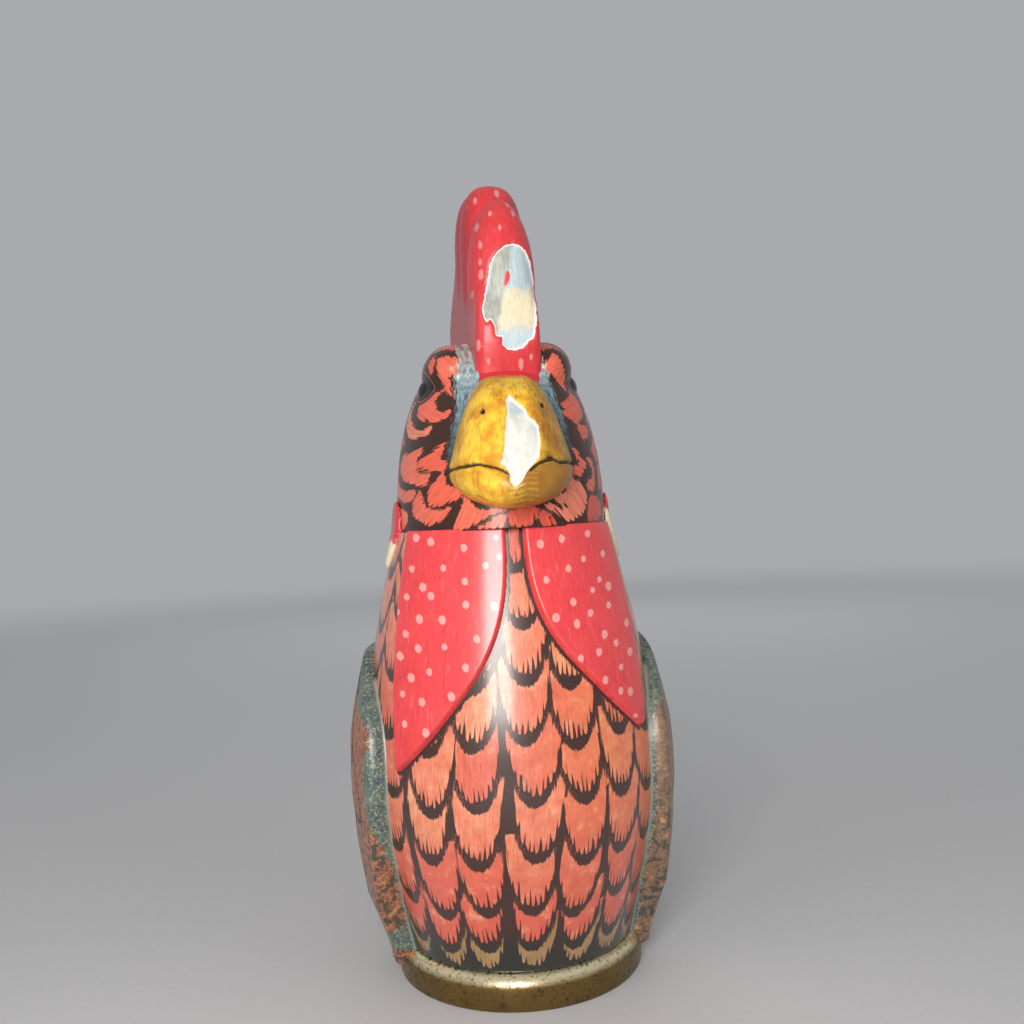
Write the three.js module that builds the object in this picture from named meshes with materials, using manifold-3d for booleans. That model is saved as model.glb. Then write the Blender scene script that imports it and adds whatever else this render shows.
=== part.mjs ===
// Carved, painted and varnished wooden rooster: a sitting bird built up from glued and dowelled blocks.
// Millimetres, +Z up, beak towards -Y, origin under the middle of the plinth.
// Left and right are the bird's own sides: its left is +X.
import * as THREE from "three";
import { mergeVertices } from "three/addons/utils/BufferGeometryUtils.js";
import Module from "manifold-3d";

const wasm = await Module();
wasm.setup();

// Glue gap between curved faces, and the play round a dowel in its hole.
const GLUE_GAP = 0.3;
const DOWEL_GAP = 0.15;

// Plinth: a low gilt oval with a rounded upper edge. The body stands back from its rim by the ledge.
const PLINTH_HEIGHT = 10;
const PLINTH_HALF_WIDTH = 37;
const PLINTH_FRONT = 38;
const PLINTH_BACK = 48;
const PLINTH_ROUNDING = 3;
const PLINTH_FOOT_CHAMFER = 0.8;
const PLINTH_LEDGE = 2.5;

// Body block, from the plinth to the neck joint. Each station has its height over the plinth,
// its half width and its reach in front of and behind the axis.
const BELLY = { height: 45, halfWidth: 44, front: 48, back: 66 };
const SHOULDER = { height: 85, halfWidth: 41, front: 45, back: 47 };
const NECK = { height: 122.5, halfWidth: 33, front: 37.5, back: 25.5 };

// Head block: half an egg standing on the neck joint. Its chin juts out over the neck. Its outline is
// fuller than an ellipse, whose roundness is 2.
const HEAD_HEIGHT = 58;
const HEAD_ROUNDNESS = 2.35;
const HEAD_STEP_IN = 1.2;
const CHIN_OVERHANG = 3.5;
const HEAD_HALF_WIDTH = NECK.halfWidth - HEAD_STEP_IN;
const HEAD_FRONT = NECK.front + CHIN_OVERHANG;
const HEAD_BACK = NECK.back;

// Brows: rounded ridges over the eyes, on both sides of the comb.
const BROW_HEIGHT = 46;
const BROW_OUT = 13.5;
const BROW_FORWARD = 9;
const BROW_HALF_LENGTH = 18;
const BROW_RADIUS = 9;

// Comb: a thick fin with rounded points, let into a slot along the crown. It is thinner towards its
// front and its top, and each point runs down into the fin by the drop. It stands askew by the turn,
// in degrees, with its front towards the bird's left.
const COMB_SEAT = 42.5;
const COMB_TURN = 4;
const COMB_FOOT_THICKNESS = 21;
const COMB_FRONT_THICKNESS = 19;
const COMB_TOP_THICKNESS = 11;
const COMB_HEIGHT = 64;
const COMB_FRONT = 32;
const COMB_BACK = 37;
const COMB_EDGE_DEPTH = 7;
const COMB_EDGE_INSET = 2.2;
const COMB_POINT_THICKNESS = 20;
const COMB_POINT_LENGTH = 22;
const COMB_POINT_DROP = 24;

// Beak: let into the face, with a carved mouth line. Heights are over the neck joint.
const BEAK_SET_IN = 14;
const BEAK_STRAIGHT = 10;
const BEAK_LENGTH = 19;
const BEAK_MOUTH_HEIGHT = 16.5;
const BEAK_HALF_WIDTH = 17;
const BEAK_TOP_HALF_WIDTH = 10;
const BEAK_CHIN_DROP = 11;
const BEAK_TIP_DROP = 5;
const MOUTH_GROOVE = 0.9;
const MOUTH_DEPTH = 1.3;

// Eyes: round beads sunk in sockets on the sides of the head under the brows. The height is over the
// neck joint.
const EYE_RADIUS = 5;
const EYE_SUNK = 3.8;
const EYE_FORWARD = 12;
const EYE_HEIGHT = 42.5;

// Earlobes: thin carved drops on the sides of the neck joint.
const EARLOBE_LENGTH = 20;
const EARLOBE_WIDTH = 14;
const EARLOBE_THICKNESS = 1.2;
const EARLOBE_TOP = 9;
const EARLOBE_FORWARD = 5;

// Wattles: two lapels below the chin. The drop is measured from the neck joint to each tip.
const WATTLE_THICKNESS = 2.4;
const WATTLE_GAP = 4.6;
const WATTLE_TIP_REACH = 34;
const WATTLE_TOP_REACH = 27;
const WATTLE_DROP_RIGHT = 66;
const WATTLE_DROP_LEFT = 58;

// Wings: plates lying on the sides, thickest below the belly, with a raised covert layer in front.
// Their tips hang below the plinth's top by the drop.
const WING_THICKNESS = 3.6;
const WING_LOWER_THICKNESS = 5.8;
const WING_TIP_THICKNESS = 3.4;
const WING_TOP_THICKNESS = 0.8;
const WING_COVERT_RISE = 1.4;
const WING_HEIGHT = 88;
const WING_FRONT = 25;
const WING_BACK = 56;
const WING_TIP_DROP = 6;

// Tail: arched blades on a root block behind a flat joint across the rump.
const TAIL_ROOT = 10;
const TAIL_HEIGHT = 170;
const TAIL_REACH = 71;
const TAIL_TOP_THICKNESS = 14;
const TAIL_LAYER_STEP = 6;
const TAIL_TIP_TAPER = 0.6;
const TAIL_EDGE_DEPTH = 2.5;
const TAIL_EDGE_INSET = 1;

// Joinery: beech dowels and countersunk wood screws.
const DOWEL_RADIUS = 4;
const DOWEL_LENGTH = 30;
const PIN_RADIUS = 2.5;
const PIN_LENGTH = 16;
const NECK_DOWEL_SHARE = 0.35;
const TAIL_DOWEL_SPACING = 18;
const BEAK_DOWEL_RISE = 6;
const WING_PIN_HEIGHT = 52;
const WING_PIN_BACK = 4;
const WING_PIN_SPACING = 26;
const SCREW_LENGTH = 34;
const SCREW_SHANK_RADIUS = 2.2;
const SCREW_HEAD_RADIUS = 4.4;
const SCREW_RIM = 0.5;
const SCREW_POINT_LENGTH = 6;
const SCREW_POINT_RADIUS = 0.4;
const SCREW_SUNK = 1.2;
const SCREW_SPACING = 44;

// Facets of the carved skins: sides of a ring, and rings between the plinth and the neck joint.
const SIDES = 36;
const RINGS = 14;

// Height of the neck joint over the ground, and the plane of the tail joint behind the axis.
const NECK_JOINT = PLINTH_HEIGHT + NECK.height;
const TAIL_SEAT = BELLY.back - TAIL_ROOT;

// Reaches of the beak in front of the axis: its seat, the end of its straight part and its tip.
const BEAK_SEAT = HEAD_FRONT - BEAK_SET_IN;
const BEAK_FACE = BEAK_SEAT + BEAK_STRAIGHT;
const BEAK_TIP = HEAD_FRONT + BEAK_LENGTH;

const X_AXIS = new THREE.Vector3(1, 0, 0);
const Y_AXIS = new THREE.Vector3(0, 1, 0);
const Z_AXIS = new THREE.Vector3(0, 0, 1);

// Turns an outline drawn in (y, z) so that its extrusion runs along +X.
const SIDE_VIEW = new THREE.Matrix4().makeBasis(Y_AXIS, Z_AXIS, X_AXIS);
// Turns an outline drawn in (x, z) so that its extrusion runs forwards, along -Y.
const FRONT_VIEW = new THREE.Matrix4().makeBasis(X_AXIS, Z_AXIS, Y_AXIS.clone().negate());

function solid(geometry) {
  const plain = geometry.clone();
  plain.deleteAttribute("normal");
  plain.deleteAttribute("uv");
  const merged = mergeVertices(plain, 1e-4);
  return new wasm.Manifold(new wasm.Mesh({
    numProp: 3,
    vertProperties: new Float32Array(merged.attributes.position.array),
    triVerts: new Uint32Array(merged.index.array),
  }));
}

function geometryOf(manifold) {
  const mesh = manifold.getMesh();
  const geometry = new THREE.BufferGeometry();
  geometry.setAttribute("position", new THREE.BufferAttribute(new Float32Array(mesh.vertProperties), 3));
  geometry.setIndex(new THREE.BufferAttribute(new Uint32Array(mesh.triVerts), 1));
  geometry.computeVertexNormals();
  return geometry;
}

// Closed skin through rings of equally many points that run anticlockwise, stacked along +Z.
function loft(rings) {
  const count = rings[0].length;
  const points = rings.flat();
  const ends = [rings[0], rings[rings.length - 1]].map((ring) => {
    const middle = new THREE.Vector3();
    ring.forEach((p) => middle.add(p));
    return middle.divideScalar(count);
  });
  const index = [];
  const top = (rings.length - 1) * count;
  const low = points.push(ends[0]) - 1;
  const high = points.push(ends[1]) - 1;
  for (let i = 0; i < count; i += 1) {
    const j = (i + 1) % count;
    index.push(low, j, i, high, top + i, top + j);
    for (let r = 0; r < top; r += count) {
      index.push(r + i, r + j, r + count + j, r + i, r + count + j, r + count + i);
    }
  }
  const geometry = new THREE.BufferGeometry().setFromPoints(points);
  geometry.setIndex(index);
  return geometry;
}

// Egg-shaped ring at height z: one half width, and its own reach to the front and to the back.
function eggRing(halfWidth, front, back, z) {
  const ring = [];
  for (let i = 0; i < SIDES; i += 1) {
    const angle = (i / SIDES) * 2 * Math.PI;
    const reach = Math.sin(angle);
    ring.push(new THREE.Vector3(halfWidth * Math.cos(angle), reach * (reach < 0 ? front : back), z));
  }
  return ring;
}

function extrude(shape, depth, options = {}) {
  return new THREE.ExtrudeGeometry(shape, { depth, bevelEnabled: false, curveSegments: 3, ...options });
}

function splineShape(points) {
  const shape = new THREE.Shape();
  shape.moveTo(points[0][0], points[0][1]);
  shape.splineThru(points.slice(1).map(([a, b]) => new THREE.Vector2(a, b)));
  shape.closePath();
  return shape;
}

// Slab with eased edges, drawn from the side and standing astride the middle plane.
function slab(shape, thickness, edgeDepth, edgeInset) {
  return extrude(shape, thickness - 2 * edgeDepth, {
    bevelEnabled: true,
    bevelThickness: edgeDepth,
    bevelSize: edgeInset,
    bevelOffset: -edgeInset,
    bevelSegments: 2,
  }).applyMatrix4(SIDE_VIEW).translate(edgeDepth - thickness / 2, 0, 0);
}

const rooster = new THREE.Group();
rooster.name = "rooster";

function add(name, geometry, material) {
  const mesh = new THREE.Mesh(geometry, material);
  mesh.name = name;
  rooster.add(mesh);
  return mesh;
}

function paint(color, roughness = 0.4, metalness = 0) {
  return new THREE.MeshStandardMaterial({ color, roughness, metalness });
}

const FEATHER_PAINT = paint(0xb8532f);
const HEAD_PAINT = paint(0xb5522f);
const RED_PAINT = paint(0xc5252b, 0.3);
const BEAK_PAINT = paint(0xc99a3c);
const CREAM_PAINT = paint(0xd9b98c);
const EYE_PAINT = paint(0x17110f, 0.1);
const WING_PAINT = paint(0x55707a);
const GILT = paint(0xa9803a, 0.35, 0.8);
const BEECH = paint(0xc79a66, 0.7);
const STEEL = paint(0x9a9da0, 0.4, 0.9);

// Body skin: egg-shaped rings through the foot, belly, shoulder and neck, grown by a margin.
const FOOT = {
  height: 0,
  halfWidth: PLINTH_HALF_WIDTH - PLINTH_LEDGE,
  front: PLINTH_FRONT - PLINTH_LEDGE,
  back: PLINTH_BACK - PLINTH_LEDGE,
};
const STATIONS = [FOOT, BELLY, SHOULDER, NECK];
const bodyProfile = new THREE.CubicInterpolant(
  STATIONS.map((s) => s.height),
  STATIONS.flatMap((s) => [s.halfWidth, s.front, s.back]),
  3,
);

function bodySkin(grow, ringsBelow = 0) {
  const rings = [];
  for (let i = -ringsBelow; i <= RINGS; i += 1) {
    const z = PLINTH_HEIGHT + (NECK.height * i) / RINGS;
    const [halfWidth, front, back] = bodyProfile.evaluate(z - PLINTH_HEIGHT);
    const margin = typeof grow === "number" ? grow : grow(z);
    rings.push(eggRing(halfWidth + margin, front + margin, back + margin, z));
  }
  return loft(rings);
}

// Head skin: half an egg, closed by a small flat on top, grown by a margin.
function headSkin(grow) {
  const rings = [];
  for (let i = 0; i <= 12; i += 1) {
    const angle = (i / 12) * THREE.MathUtils.degToRad(86);
    const k = Math.cos(angle) ** (2 / HEAD_ROUNDNESS);
    const z = NECK_JOINT + (HEAD_HEIGHT + grow) * Math.sin(angle) ** (2 / HEAD_ROUNDNESS);
    rings.push(eggRing((HEAD_HALF_WIDTH + grow) * k, (HEAD_FRONT + grow) * k, (HEAD_BACK + grow) * k, z));
  }
  return loft(rings);
}

function plinthSkin(grow) {
  const rings = [];
  const ring = (inset, z) => {
    const d = grow - inset;
    rings.push(eggRing(PLINTH_HALF_WIDTH + d, PLINTH_FRONT + d, PLINTH_BACK + d, z));
  };
  ring(PLINTH_FOOT_CHAMFER, -grow);
  ring(0, PLINTH_FOOT_CHAMFER);
  for (let i = 0; i <= 4; i += 1) {
    const angle = (i / 4) * (Math.PI / 2);
    ring(PLINTH_ROUNDING * (1 - Math.cos(angle)), PLINTH_HEIGHT - PLINTH_ROUNDING * (1 - Math.sin(angle)));
  }
  return loft(rings);
}

function box(x0, x1, y0, y1, z0, z1) {
  return new THREE.BoxGeometry(x1 - x0, y1 - y0, z1 - z0)
    .translate((x0 + x1) / 2, (y0 + y1) / 2, (z0 + z1) / 2);
}

// Dowels: each is a rod along one axis, and the hole is the same rod with its play added.
const ALONG = {
  x: new THREE.Euler(0, 0, Math.PI / 2),
  y: new THREE.Euler(0, 0, 0),
  z: new THREE.Euler(Math.PI / 2, 0, 0),
};

function rod(radius, length, axis, position) {
  const place = new THREE.Matrix4().makeRotationFromEuler(ALONG[axis]).setPosition(position);
  return new THREE.CylinderGeometry(radius, radius, length, 16).applyMatrix4(place);
}

function dowel(name, radius, length, axis, x, y, z) {
  const position = new THREE.Vector3(x, y, z);
  const mesh = add(name, new THREE.CylinderGeometry(radius, radius, length, 16), BEECH);
  mesh.position.copy(position);
  mesh.rotation.copy(ALONG[axis]);
  return solid(rod(radius + DOWEL_GAP, length + 2 * DOWEL_GAP, axis, position));
}

// Dowels of the neck, the tail, the beak and the wings.
const neckHoles = [["front", -HEAD_FRONT], ["rear", HEAD_BACK]].map(([place, reach]) => dowel(
  `neck_dowel_${place}`, DOWEL_RADIUS, DOWEL_LENGTH, "z", 0, reach * NECK_DOWEL_SHARE, NECK_JOINT,
));
const rump = PLINTH_HEIGHT + BELLY.height;
const tailHoles = [["lower", -0.5], ["upper", 0.5]].map(([place, share]) => dowel(
  `tail_dowel_${place}`, PIN_RADIUS, PIN_LENGTH, "y", 0, TAIL_SEAT, rump + share * TAIL_DOWEL_SPACING,
));
const beakHole = dowel(
  "beak_dowel", PIN_RADIUS, PIN_LENGTH, "y",
  0, -BEAK_SEAT, NECK_JOINT + BEAK_MOUTH_HEIGHT + BEAK_DOWEL_RISE,
);

// A wing pin ends in the middle of the wing's thickness, wherever the skin is at that place.
const wingHoles = { left: [], right: [] };
const [pinHalfWidth, pinFront, pinBack] = bodyProfile.evaluate(WING_PIN_HEIGHT);
for (const [place, share] of [["front", -0.5], ["rear", 0.5]]) {
  const y = WING_PIN_BACK + share * WING_PIN_SPACING;
  const skin = pinHalfWidth * Math.sqrt(1 - (y / (y < 0 ? pinFront : pinBack)) ** 2);
  const x = skin + GLUE_GAP + WING_THICKNESS / 2 - PIN_LENGTH / 2;
  for (const [side, sign] of [["left", 1], ["right", -1]]) {
    wingHoles[side].push(dowel(
      `wing_pin_${side}_${place}`, PIN_RADIUS, PIN_LENGTH, "x", sign * x, y, PLINTH_HEIGHT + WING_PIN_HEIGHT,
    ));
  }
}

// Screws: turned from one profile, driven up through the plinth, with the heads sunk in its underside.
function screwProfile(grow) {
  const head = SCREW_HEAD_RADIUS + grow;
  const shank = SCREW_SHANK_RADIUS + grow;
  const cone = SCREW_HEAD_RADIUS - SCREW_SHANK_RADIUS;
  return [
    [0, grow ? -SCREW_SUNK - 1 : 0],
    [head, grow ? -SCREW_SUNK - 1 : 0],
    [head, SCREW_RIM + grow],
    [shank, SCREW_RIM + grow + cone],
    [shank, SCREW_LENGTH - SCREW_POINT_LENGTH],
    [SCREW_POINT_RADIUS + grow, SCREW_LENGTH + grow],
    [0, SCREW_LENGTH + grow],
  ].map(([r, z]) => new THREE.Vector2(r, z));
}

const screwHoles = [];
for (const [place, sign] of [["front", -1], ["rear", 1]]) {
  const position = new THREE.Vector3(0, 4 + (sign * SCREW_SPACING) / 2, SCREW_SUNK);
  const mesh = add(`base_screw_${place}`, new THREE.LatheGeometry(screwProfile(0), 16), STEEL);
  mesh.position.copy(position);
  mesh.rotation.x = Math.PI / 2;
  const hole = new THREE.LatheGeometry(screwProfile(DOWEL_GAP), 16)
    .rotateX(Math.PI / 2)
    .translate(position.x, position.y, position.z);
  screwHoles.push(solid(hole));
}

function cut(piece, tools) {
  return tools.reduce((rest, tool) => rest.subtract(tool), piece);
}

// Plinth.
add("plinth", geometryOf(cut(solid(plinthSkin(0)), screwHoles)), GILT);

// Body block: flat on the plinth, flat at the neck and flat at the tail joint.
const bodyWhole = solid(bodySkin(0));
const behindTail = solid(box(
  -2 * BELLY.halfWidth, 2 * BELLY.halfWidth, TAIL_SEAT, TAIL_SEAT + 2 * TAIL_REACH, 0, 2 * TAIL_HEIGHT,
));
add(
  "body_block",
  geometryOf(cut(bodyWhole, [
    behindTail, ...neckHoles, ...tailHoles, ...wingHoles.left, ...wingHoles.right, ...screwHoles,
  ])),
  FEATHER_PAINT,
);
const overBody = solid(bodySkin(GLUE_GAP, 2));

// Beak: a closed mouth, wide at the corners. Its sections run forwards from the seat in the face.
function beakRing(reach, shrink) {
  const ring = [];
  const t = THREE.MathUtils.clamp((reach - BEAK_FACE) / (BEAK_TIP - BEAK_FACE), 0, 1);
  const round = Math.sqrt(1 - t ** 2.4);
  const half = Math.max(BEAK_HALF_WIDTH * round - shrink, 0.4);
  const topShare = BEAK_TOP_HALF_WIDTH / BEAK_HALF_WIDTH;
  const rise = Math.max((COMB_SEAT - GLUE_GAP - BEAK_MOUTH_HEIGHT) * (1 - t ** 2.1) - shrink, 0.4);
  const drop = Math.max(BEAK_CHIN_DROP * round - shrink, 0.4);
  const middle = NECK_JOINT + BEAK_MOUTH_HEIGHT - BEAK_TIP_DROP * t * t;
  for (let i = 0; i < 28; i += 1) {
    const angle = (i / 28) * 2 * Math.PI;
    const c = Math.cos(angle);
    const s = Math.sin(angle);
    const up = Math.sign(s) * Math.abs(s) ** (s > 0 ? 0.6 : 1);
    const across = Math.sign(c) * Math.abs(c) ** (s > 0 ? 0.4 : 1);
    const taper = s > 0 ? 1 - (1 - topShare) * up : 1;
    ring.push(new THREE.Vector3(half * across * taper, middle + up * (s > 0 ? rise : drop), reach));
  }
  return ring;
}

function beakSkin(shrink, from) {
  const reaches = [from, BEAK_FACE];
  for (let i = 1; i <= 7; i += 1) {
    const t = 1 - (1 - i / 7) ** 1.7;
    reaches.push(BEAK_FACE + (BEAK_TIP - shrink - BEAK_FACE) * Math.min(t, 0.997));
  }
  return loft(reaches.map((reach) => beakRing(reach, shrink))).applyMatrix4(FRONT_VIEW);
}

// Mouth line: a bowed sheet with a drooping point in the middle, cut only as deep as the groove.
const mouth = NECK_JOINT + BEAK_MOUTH_HEIGHT;
const halfLip = [[1.4, -1.2], [1, -0.4], [0.47, 1.6], [0.18, -2.2]];
const lip = [
  ...halfLip.map(([share, z]) => [-share, z]), [0, -BEAK_TIP_DROP], ...halfLip.slice().reverse(),
].map(([share, z]) => [share * BEAK_HALF_WIDTH, mouth + z]);
const upperLip = lip.map(([x, z]) => new THREE.Vector2(x, z + MOUTH_GROOVE / 2));
const lowerLip = lip.map(([x, z]) => new THREE.Vector2(x, z - MOUTH_GROOVE / 2)).reverse();
const lips = new THREE.Shape();
lips.moveTo(upperLip[0].x, upperLip[0].y);
lips.splineThru(upperLip.slice(1));
lips.lineTo(lowerLip[0].x, lowerLip[0].y);
lips.splineThru(lowerLip.slice(1));
lips.closePath();
const mouthSheet = solid(
  extrude(lips, BEAK_TIP - BEAK_SEAT).translate(0, 0, BEAK_FACE - 3).applyMatrix4(FRONT_VIEW),
);
const beakCore = solid(beakSkin(MOUTH_DEPTH, BEAK_SEAT));
const beak = solid(beakSkin(0, BEAK_SEAT)).subtract(mouthSheet.subtract(beakCore)).subtract(beakHole);
add("beak", geometryOf(beak), BEAK_PAINT);
const beakPocket = solid(loft([beakRing(BEAK_SEAT, -GLUE_GAP), beakRing(BEAK_FACE, -GLUE_GAP)]
  .map((ring, i) => ring.map((p) => new THREE.Vector3(p.x, p.y, i ? BEAK_TIP : BEAK_SEAT))))
  .applyMatrix4(FRONT_VIEW))
  .add(solid(box(
    -BEAK_TOP_HALF_WIDTH, BEAK_TOP_HALF_WIDTH, -BEAK_TIP, -BEAK_SEAT,
    NECK_JOINT + COMB_SEAT - 1, NECK_JOINT + COMB_SEAT + 1,
  )));

// Comb: a fin drawn from the side, as shares of its reach and of its height, with five rounded points.
const combReach = (share) => share * (share < 0 ? COMB_FRONT : COMB_BACK);
const combFin = slab(splineShape([
  [-0.9, 0], [-0.99, 0.18], [-0.95, 0.36], [-0.75, 0.58], [-0.4, 0.7], [0, 0.78], [0.4, 0.74],
  [0.7, 0.58], [0.86, 0.4], [0.785, 0.25], [0.515, 0.14], [0.35, 0],
].map(([y, z]) => [combReach(y), z * COMB_HEIGHT])), COMB_FOOT_THICKNESS, COMB_EDGE_DEPTH, COMB_EDGE_INSET);
const finPlaces = combFin.attributes.position;
for (let i = 0; i < finPlaces.count; i += 1) {
  const share = Math.max(finPlaces.getZ(i) / COMB_HEIGHT, 0);
  const behind = THREE.MathUtils.clamp(1 + finPlaces.getY(i) / COMB_FRONT, 0, 1);
  const foot = THREE.MathUtils.lerp(COMB_FRONT_THICKNESS, COMB_FOOT_THICKNESS, behind);
  const thickness = THREE.MathUtils.lerp(foot, COMB_TOP_THICKNESS, share ** 1.6);
  finPlaces.setX(i, finPlaces.getX(i) * (thickness / COMB_FOOT_THICKNESS));
}
// A point seen from the front: an oval, blunter at its top the higher the power.
const combPoint = (power) => {
  const made = new THREE.SphereGeometry(0.5, 20, 14).rotateX(Math.PI / 2);
  const places = made.attributes.position;
  for (let i = 0; i < places.count; i += 1) {
    const rise = Math.min(Math.abs(2 * places.getZ(i)), 0.9999);
    const blunt = (1 - rise ** power) ** (1 / power) / Math.sqrt(1 - rise * rise);
    places.setX(i, places.getX(i) * blunt);
  }
  return made;
};
const comb = [
  [-0.64, 0.825, 1, 1, 2], [-0.22, 0.955, 1, 1, 2.9], [0.25, 1, 1, 0.92, 2.9], [0.56, 0.87, 0.85, 0.82, 2.4],
  [0.76, 0.62, 0.7, 0.72, 2],
].reduce((whole, [y, z, length, thickness, power]) => whole.add(solid(
  combPoint(power)
    .scale(COMB_POINT_THICKNESS * thickness, COMB_POINT_LENGTH * length, 2 * COMB_POINT_DROP * length)
    .translate(0, combReach(y), z * COMB_HEIGHT - COMB_POINT_DROP * length),
)), solid(combFin)).rotate([0, 0, COMB_TURN]).translate([0, 0, NECK_JOINT + COMB_SEAT]);
add("comb", geometryOf(comb), RED_PAINT);
const combSlot = solid(box(
  -COMB_FOOT_THICKNESS / 2 - GLUE_GAP, COMB_FOOT_THICKNESS / 2 + GLUE_GAP, -2 * HEAD_FRONT, 2 * HEAD_BACK,
  NECK_JOINT + COMB_SEAT, NECK_JOINT + COMB_SEAT + 2 * HEAD_HEIGHT,
)).rotate([0, 0, COMB_TURN]);

// Eyes: each bead lies on the head's skin, sunk along the skin's normal.
const eyeRise = EYE_HEIGHT / HEAD_HEIGHT;
const eyeGirth = (1 - eyeRise ** HEAD_ROUNDNESS) ** (1 / HEAD_ROUNDNESS);
const eyeAside = Math.sqrt(eyeGirth ** 2 - (EYE_FORWARD / HEAD_FRONT) ** 2);
const eyePoint = new THREE.Vector3(HEAD_HALF_WIDTH * eyeAside, -EYE_FORWARD, EYE_HEIGHT);
const eyeNormal = new THREE.Vector3(
  (eyeGirth ** (HEAD_ROUNDNESS - 2) * eyeAside) / HEAD_HALF_WIDTH,
  (-(eyeGirth ** (HEAD_ROUNDNESS - 2)) * EYE_FORWARD) / HEAD_FRONT ** 2,
  eyeRise ** (HEAD_ROUNDNESS - 1) / HEAD_HEIGHT,
).normalize();
const eyeSockets = [];
for (const [side, sign] of [["left", 1], ["right", -1]]) {
  const centre = eyePoint.clone().addScaledVector(eyeNormal, -EYE_SUNK);
  const mesh = add(`eye_${side}`, new THREE.SphereGeometry(EYE_RADIUS, 16, 10), EYE_PAINT);
  mesh.position.set(sign * centre.x, centre.y, NECK_JOINT + centre.z);
  const socket = new THREE.SphereGeometry(EYE_RADIUS + GLUE_GAP, 16, 10)
    .translate(mesh.position.x, mesh.position.y, mesh.position.z);
  eyeSockets.push(solid(socket));
}

// Head block.
const brows = [1, -1].map((sign) => solid(
  new THREE.SphereGeometry(BROW_RADIUS, 20, 12)
    .scale(1, BROW_HALF_LENGTH / BROW_RADIUS, 1)
    .translate(sign * BROW_OUT, -BROW_FORWARD, NECK_JOINT + BROW_HEIGHT),
));
const headWhole = brows.reduce((whole, brow) => whole.add(brow), solid(headSkin(0)));
add(
  "head_block",
  geometryOf(cut(headWhole, [combSlot, beakPocket, beakHole, ...eyeSockets, ...neckHoles])),
  HEAD_PAINT,
);
const overHead = solid(headSkin(GLUE_GAP));

// Wattles: drawn from the front, wrapped on the breast under the chin.
const overBreast = solid(bodySkin(GLUE_GAP + WATTLE_THICKNESS));
for (const [side, sign, drop] of [["left", 1, WATTLE_DROP_LEFT], ["right", -1, WATTLE_DROP_RIGHT]]) {
  const outline = new THREE.Shape();
  const inner = WATTLE_GAP / 2;
  const reach = WATTLE_TIP_REACH;
  outline.moveTo(sign * inner, 0);
  outline.bezierCurveTo(
    sign * inner, -0.2 * drop, sign * inner, -0.42 * drop, sign * 0.45 * reach, -0.66 * drop,
  );
  outline.quadraticCurveTo(sign * 0.78 * reach, -0.88 * drop, sign * reach, -drop);
  outline.quadraticCurveTo(sign * (reach + 1), -0.5 * drop, sign * WATTLE_TOP_REACH, 0);
  outline.closePath();
  const prism = solid(
    extrude(outline, 2 * BELLY.front, { curveSegments: 8 }).applyMatrix4(FRONT_VIEW).translate(0, 0, NECK_JOINT),
  );
  add(`wattle_${side}`, geometryOf(prism.intersect(overBreast).subtract(overBody)), RED_PAINT);
}

// Earlobes: drops drawn from the side, wrapped on the head and the neck.
const lobeSkin = solid(bodySkin(GLUE_GAP + EARLOBE_THICKNESS))
  .add(solid(headSkin(GLUE_GAP + EARLOBE_THICKNESS)));
const lobe = new THREE.Shape();
lobe.moveTo(0, 0);
lobe.bezierCurveTo(
  -EARLOBE_WIDTH * 0.7, 0, -EARLOBE_WIDTH * 0.6, -EARLOBE_LENGTH * 0.6, 0, -EARLOBE_LENGTH,
);
lobe.bezierCurveTo(
  EARLOBE_WIDTH * 0.6, -EARLOBE_LENGTH * 0.6, EARLOBE_WIDTH * 0.7, 0, 0, 0,
);
for (const [side, sign] of [["left", 1], ["right", -1]]) {
  const depth = 2 * NECK.halfWidth;
  const prism = extrude(lobe, depth, { curveSegments: 8 }).applyMatrix4(SIDE_VIEW)
    .translate(sign > 0 ? 0 : -depth, -EARLOBE_FORWARD, NECK_JOINT + EARLOBE_TOP);
  const piece = solid(prism).intersect(lobeSkin).subtract(overBody).subtract(overHead);
  add(`earlobe_${side}`, geometryOf(piece), CREAM_PAINT);
}

// Wings: drawn from the side, wrapped on the body and hanging over the plinth's rim in front.
// The outlines are shares of the wing's reach and of its height over the plinth.
const wingProfile = new THREE.CubicInterpolant(
  [-WING_TIP_DROP, WING_HEIGHT * 0.2, WING_HEIGHT * 0.46, WING_HEIGHT * 0.72, WING_HEIGHT * 1.045],
  [WING_TIP_THICKNESS, WING_LOWER_THICKNESS, WING_THICKNESS, WING_THICKNESS, WING_TOP_THICKNESS],
  1,
);
const overPlinth = solid(plinthSkin(GLUE_GAP));
const wingShape = (points) => splineShape(points.map(
  ([y, z]) => [y * (y < 0 ? WING_FRONT : WING_BACK), PLINTH_HEIGHT + z * WING_HEIGHT],
));
const wingOutline = wingShape([
  [-0.4, -WING_TIP_DROP / WING_HEIGHT], [-0.58, 0.115], [-0.86, 0.345], [-1, 0.59], [-0.88, 0.775],
  [-0.48, 0.91], [-0.04, 0.98], [0.215, 1], [0.535, 0.93], [0.82, 0.725], [1, 0.455], [0.82, 0.32],
  [0.5, 0.16], [0.145, 0.025],
]);
const covertOutline = wingShape([
  [-2, -0.23], [-2, 0.68], [-1.5, 1.115], [0.18, 1.16], [0.48, 0.975], [0.48, 0.82], [0.34, 0.75],
  [0.355, 0.59], [0.195, 0.535], [0.18, 0.385], [0.02, 0.32], [0, 0.16], [-0.255, 0.025], [-0.51, -0.23],
]);
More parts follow.
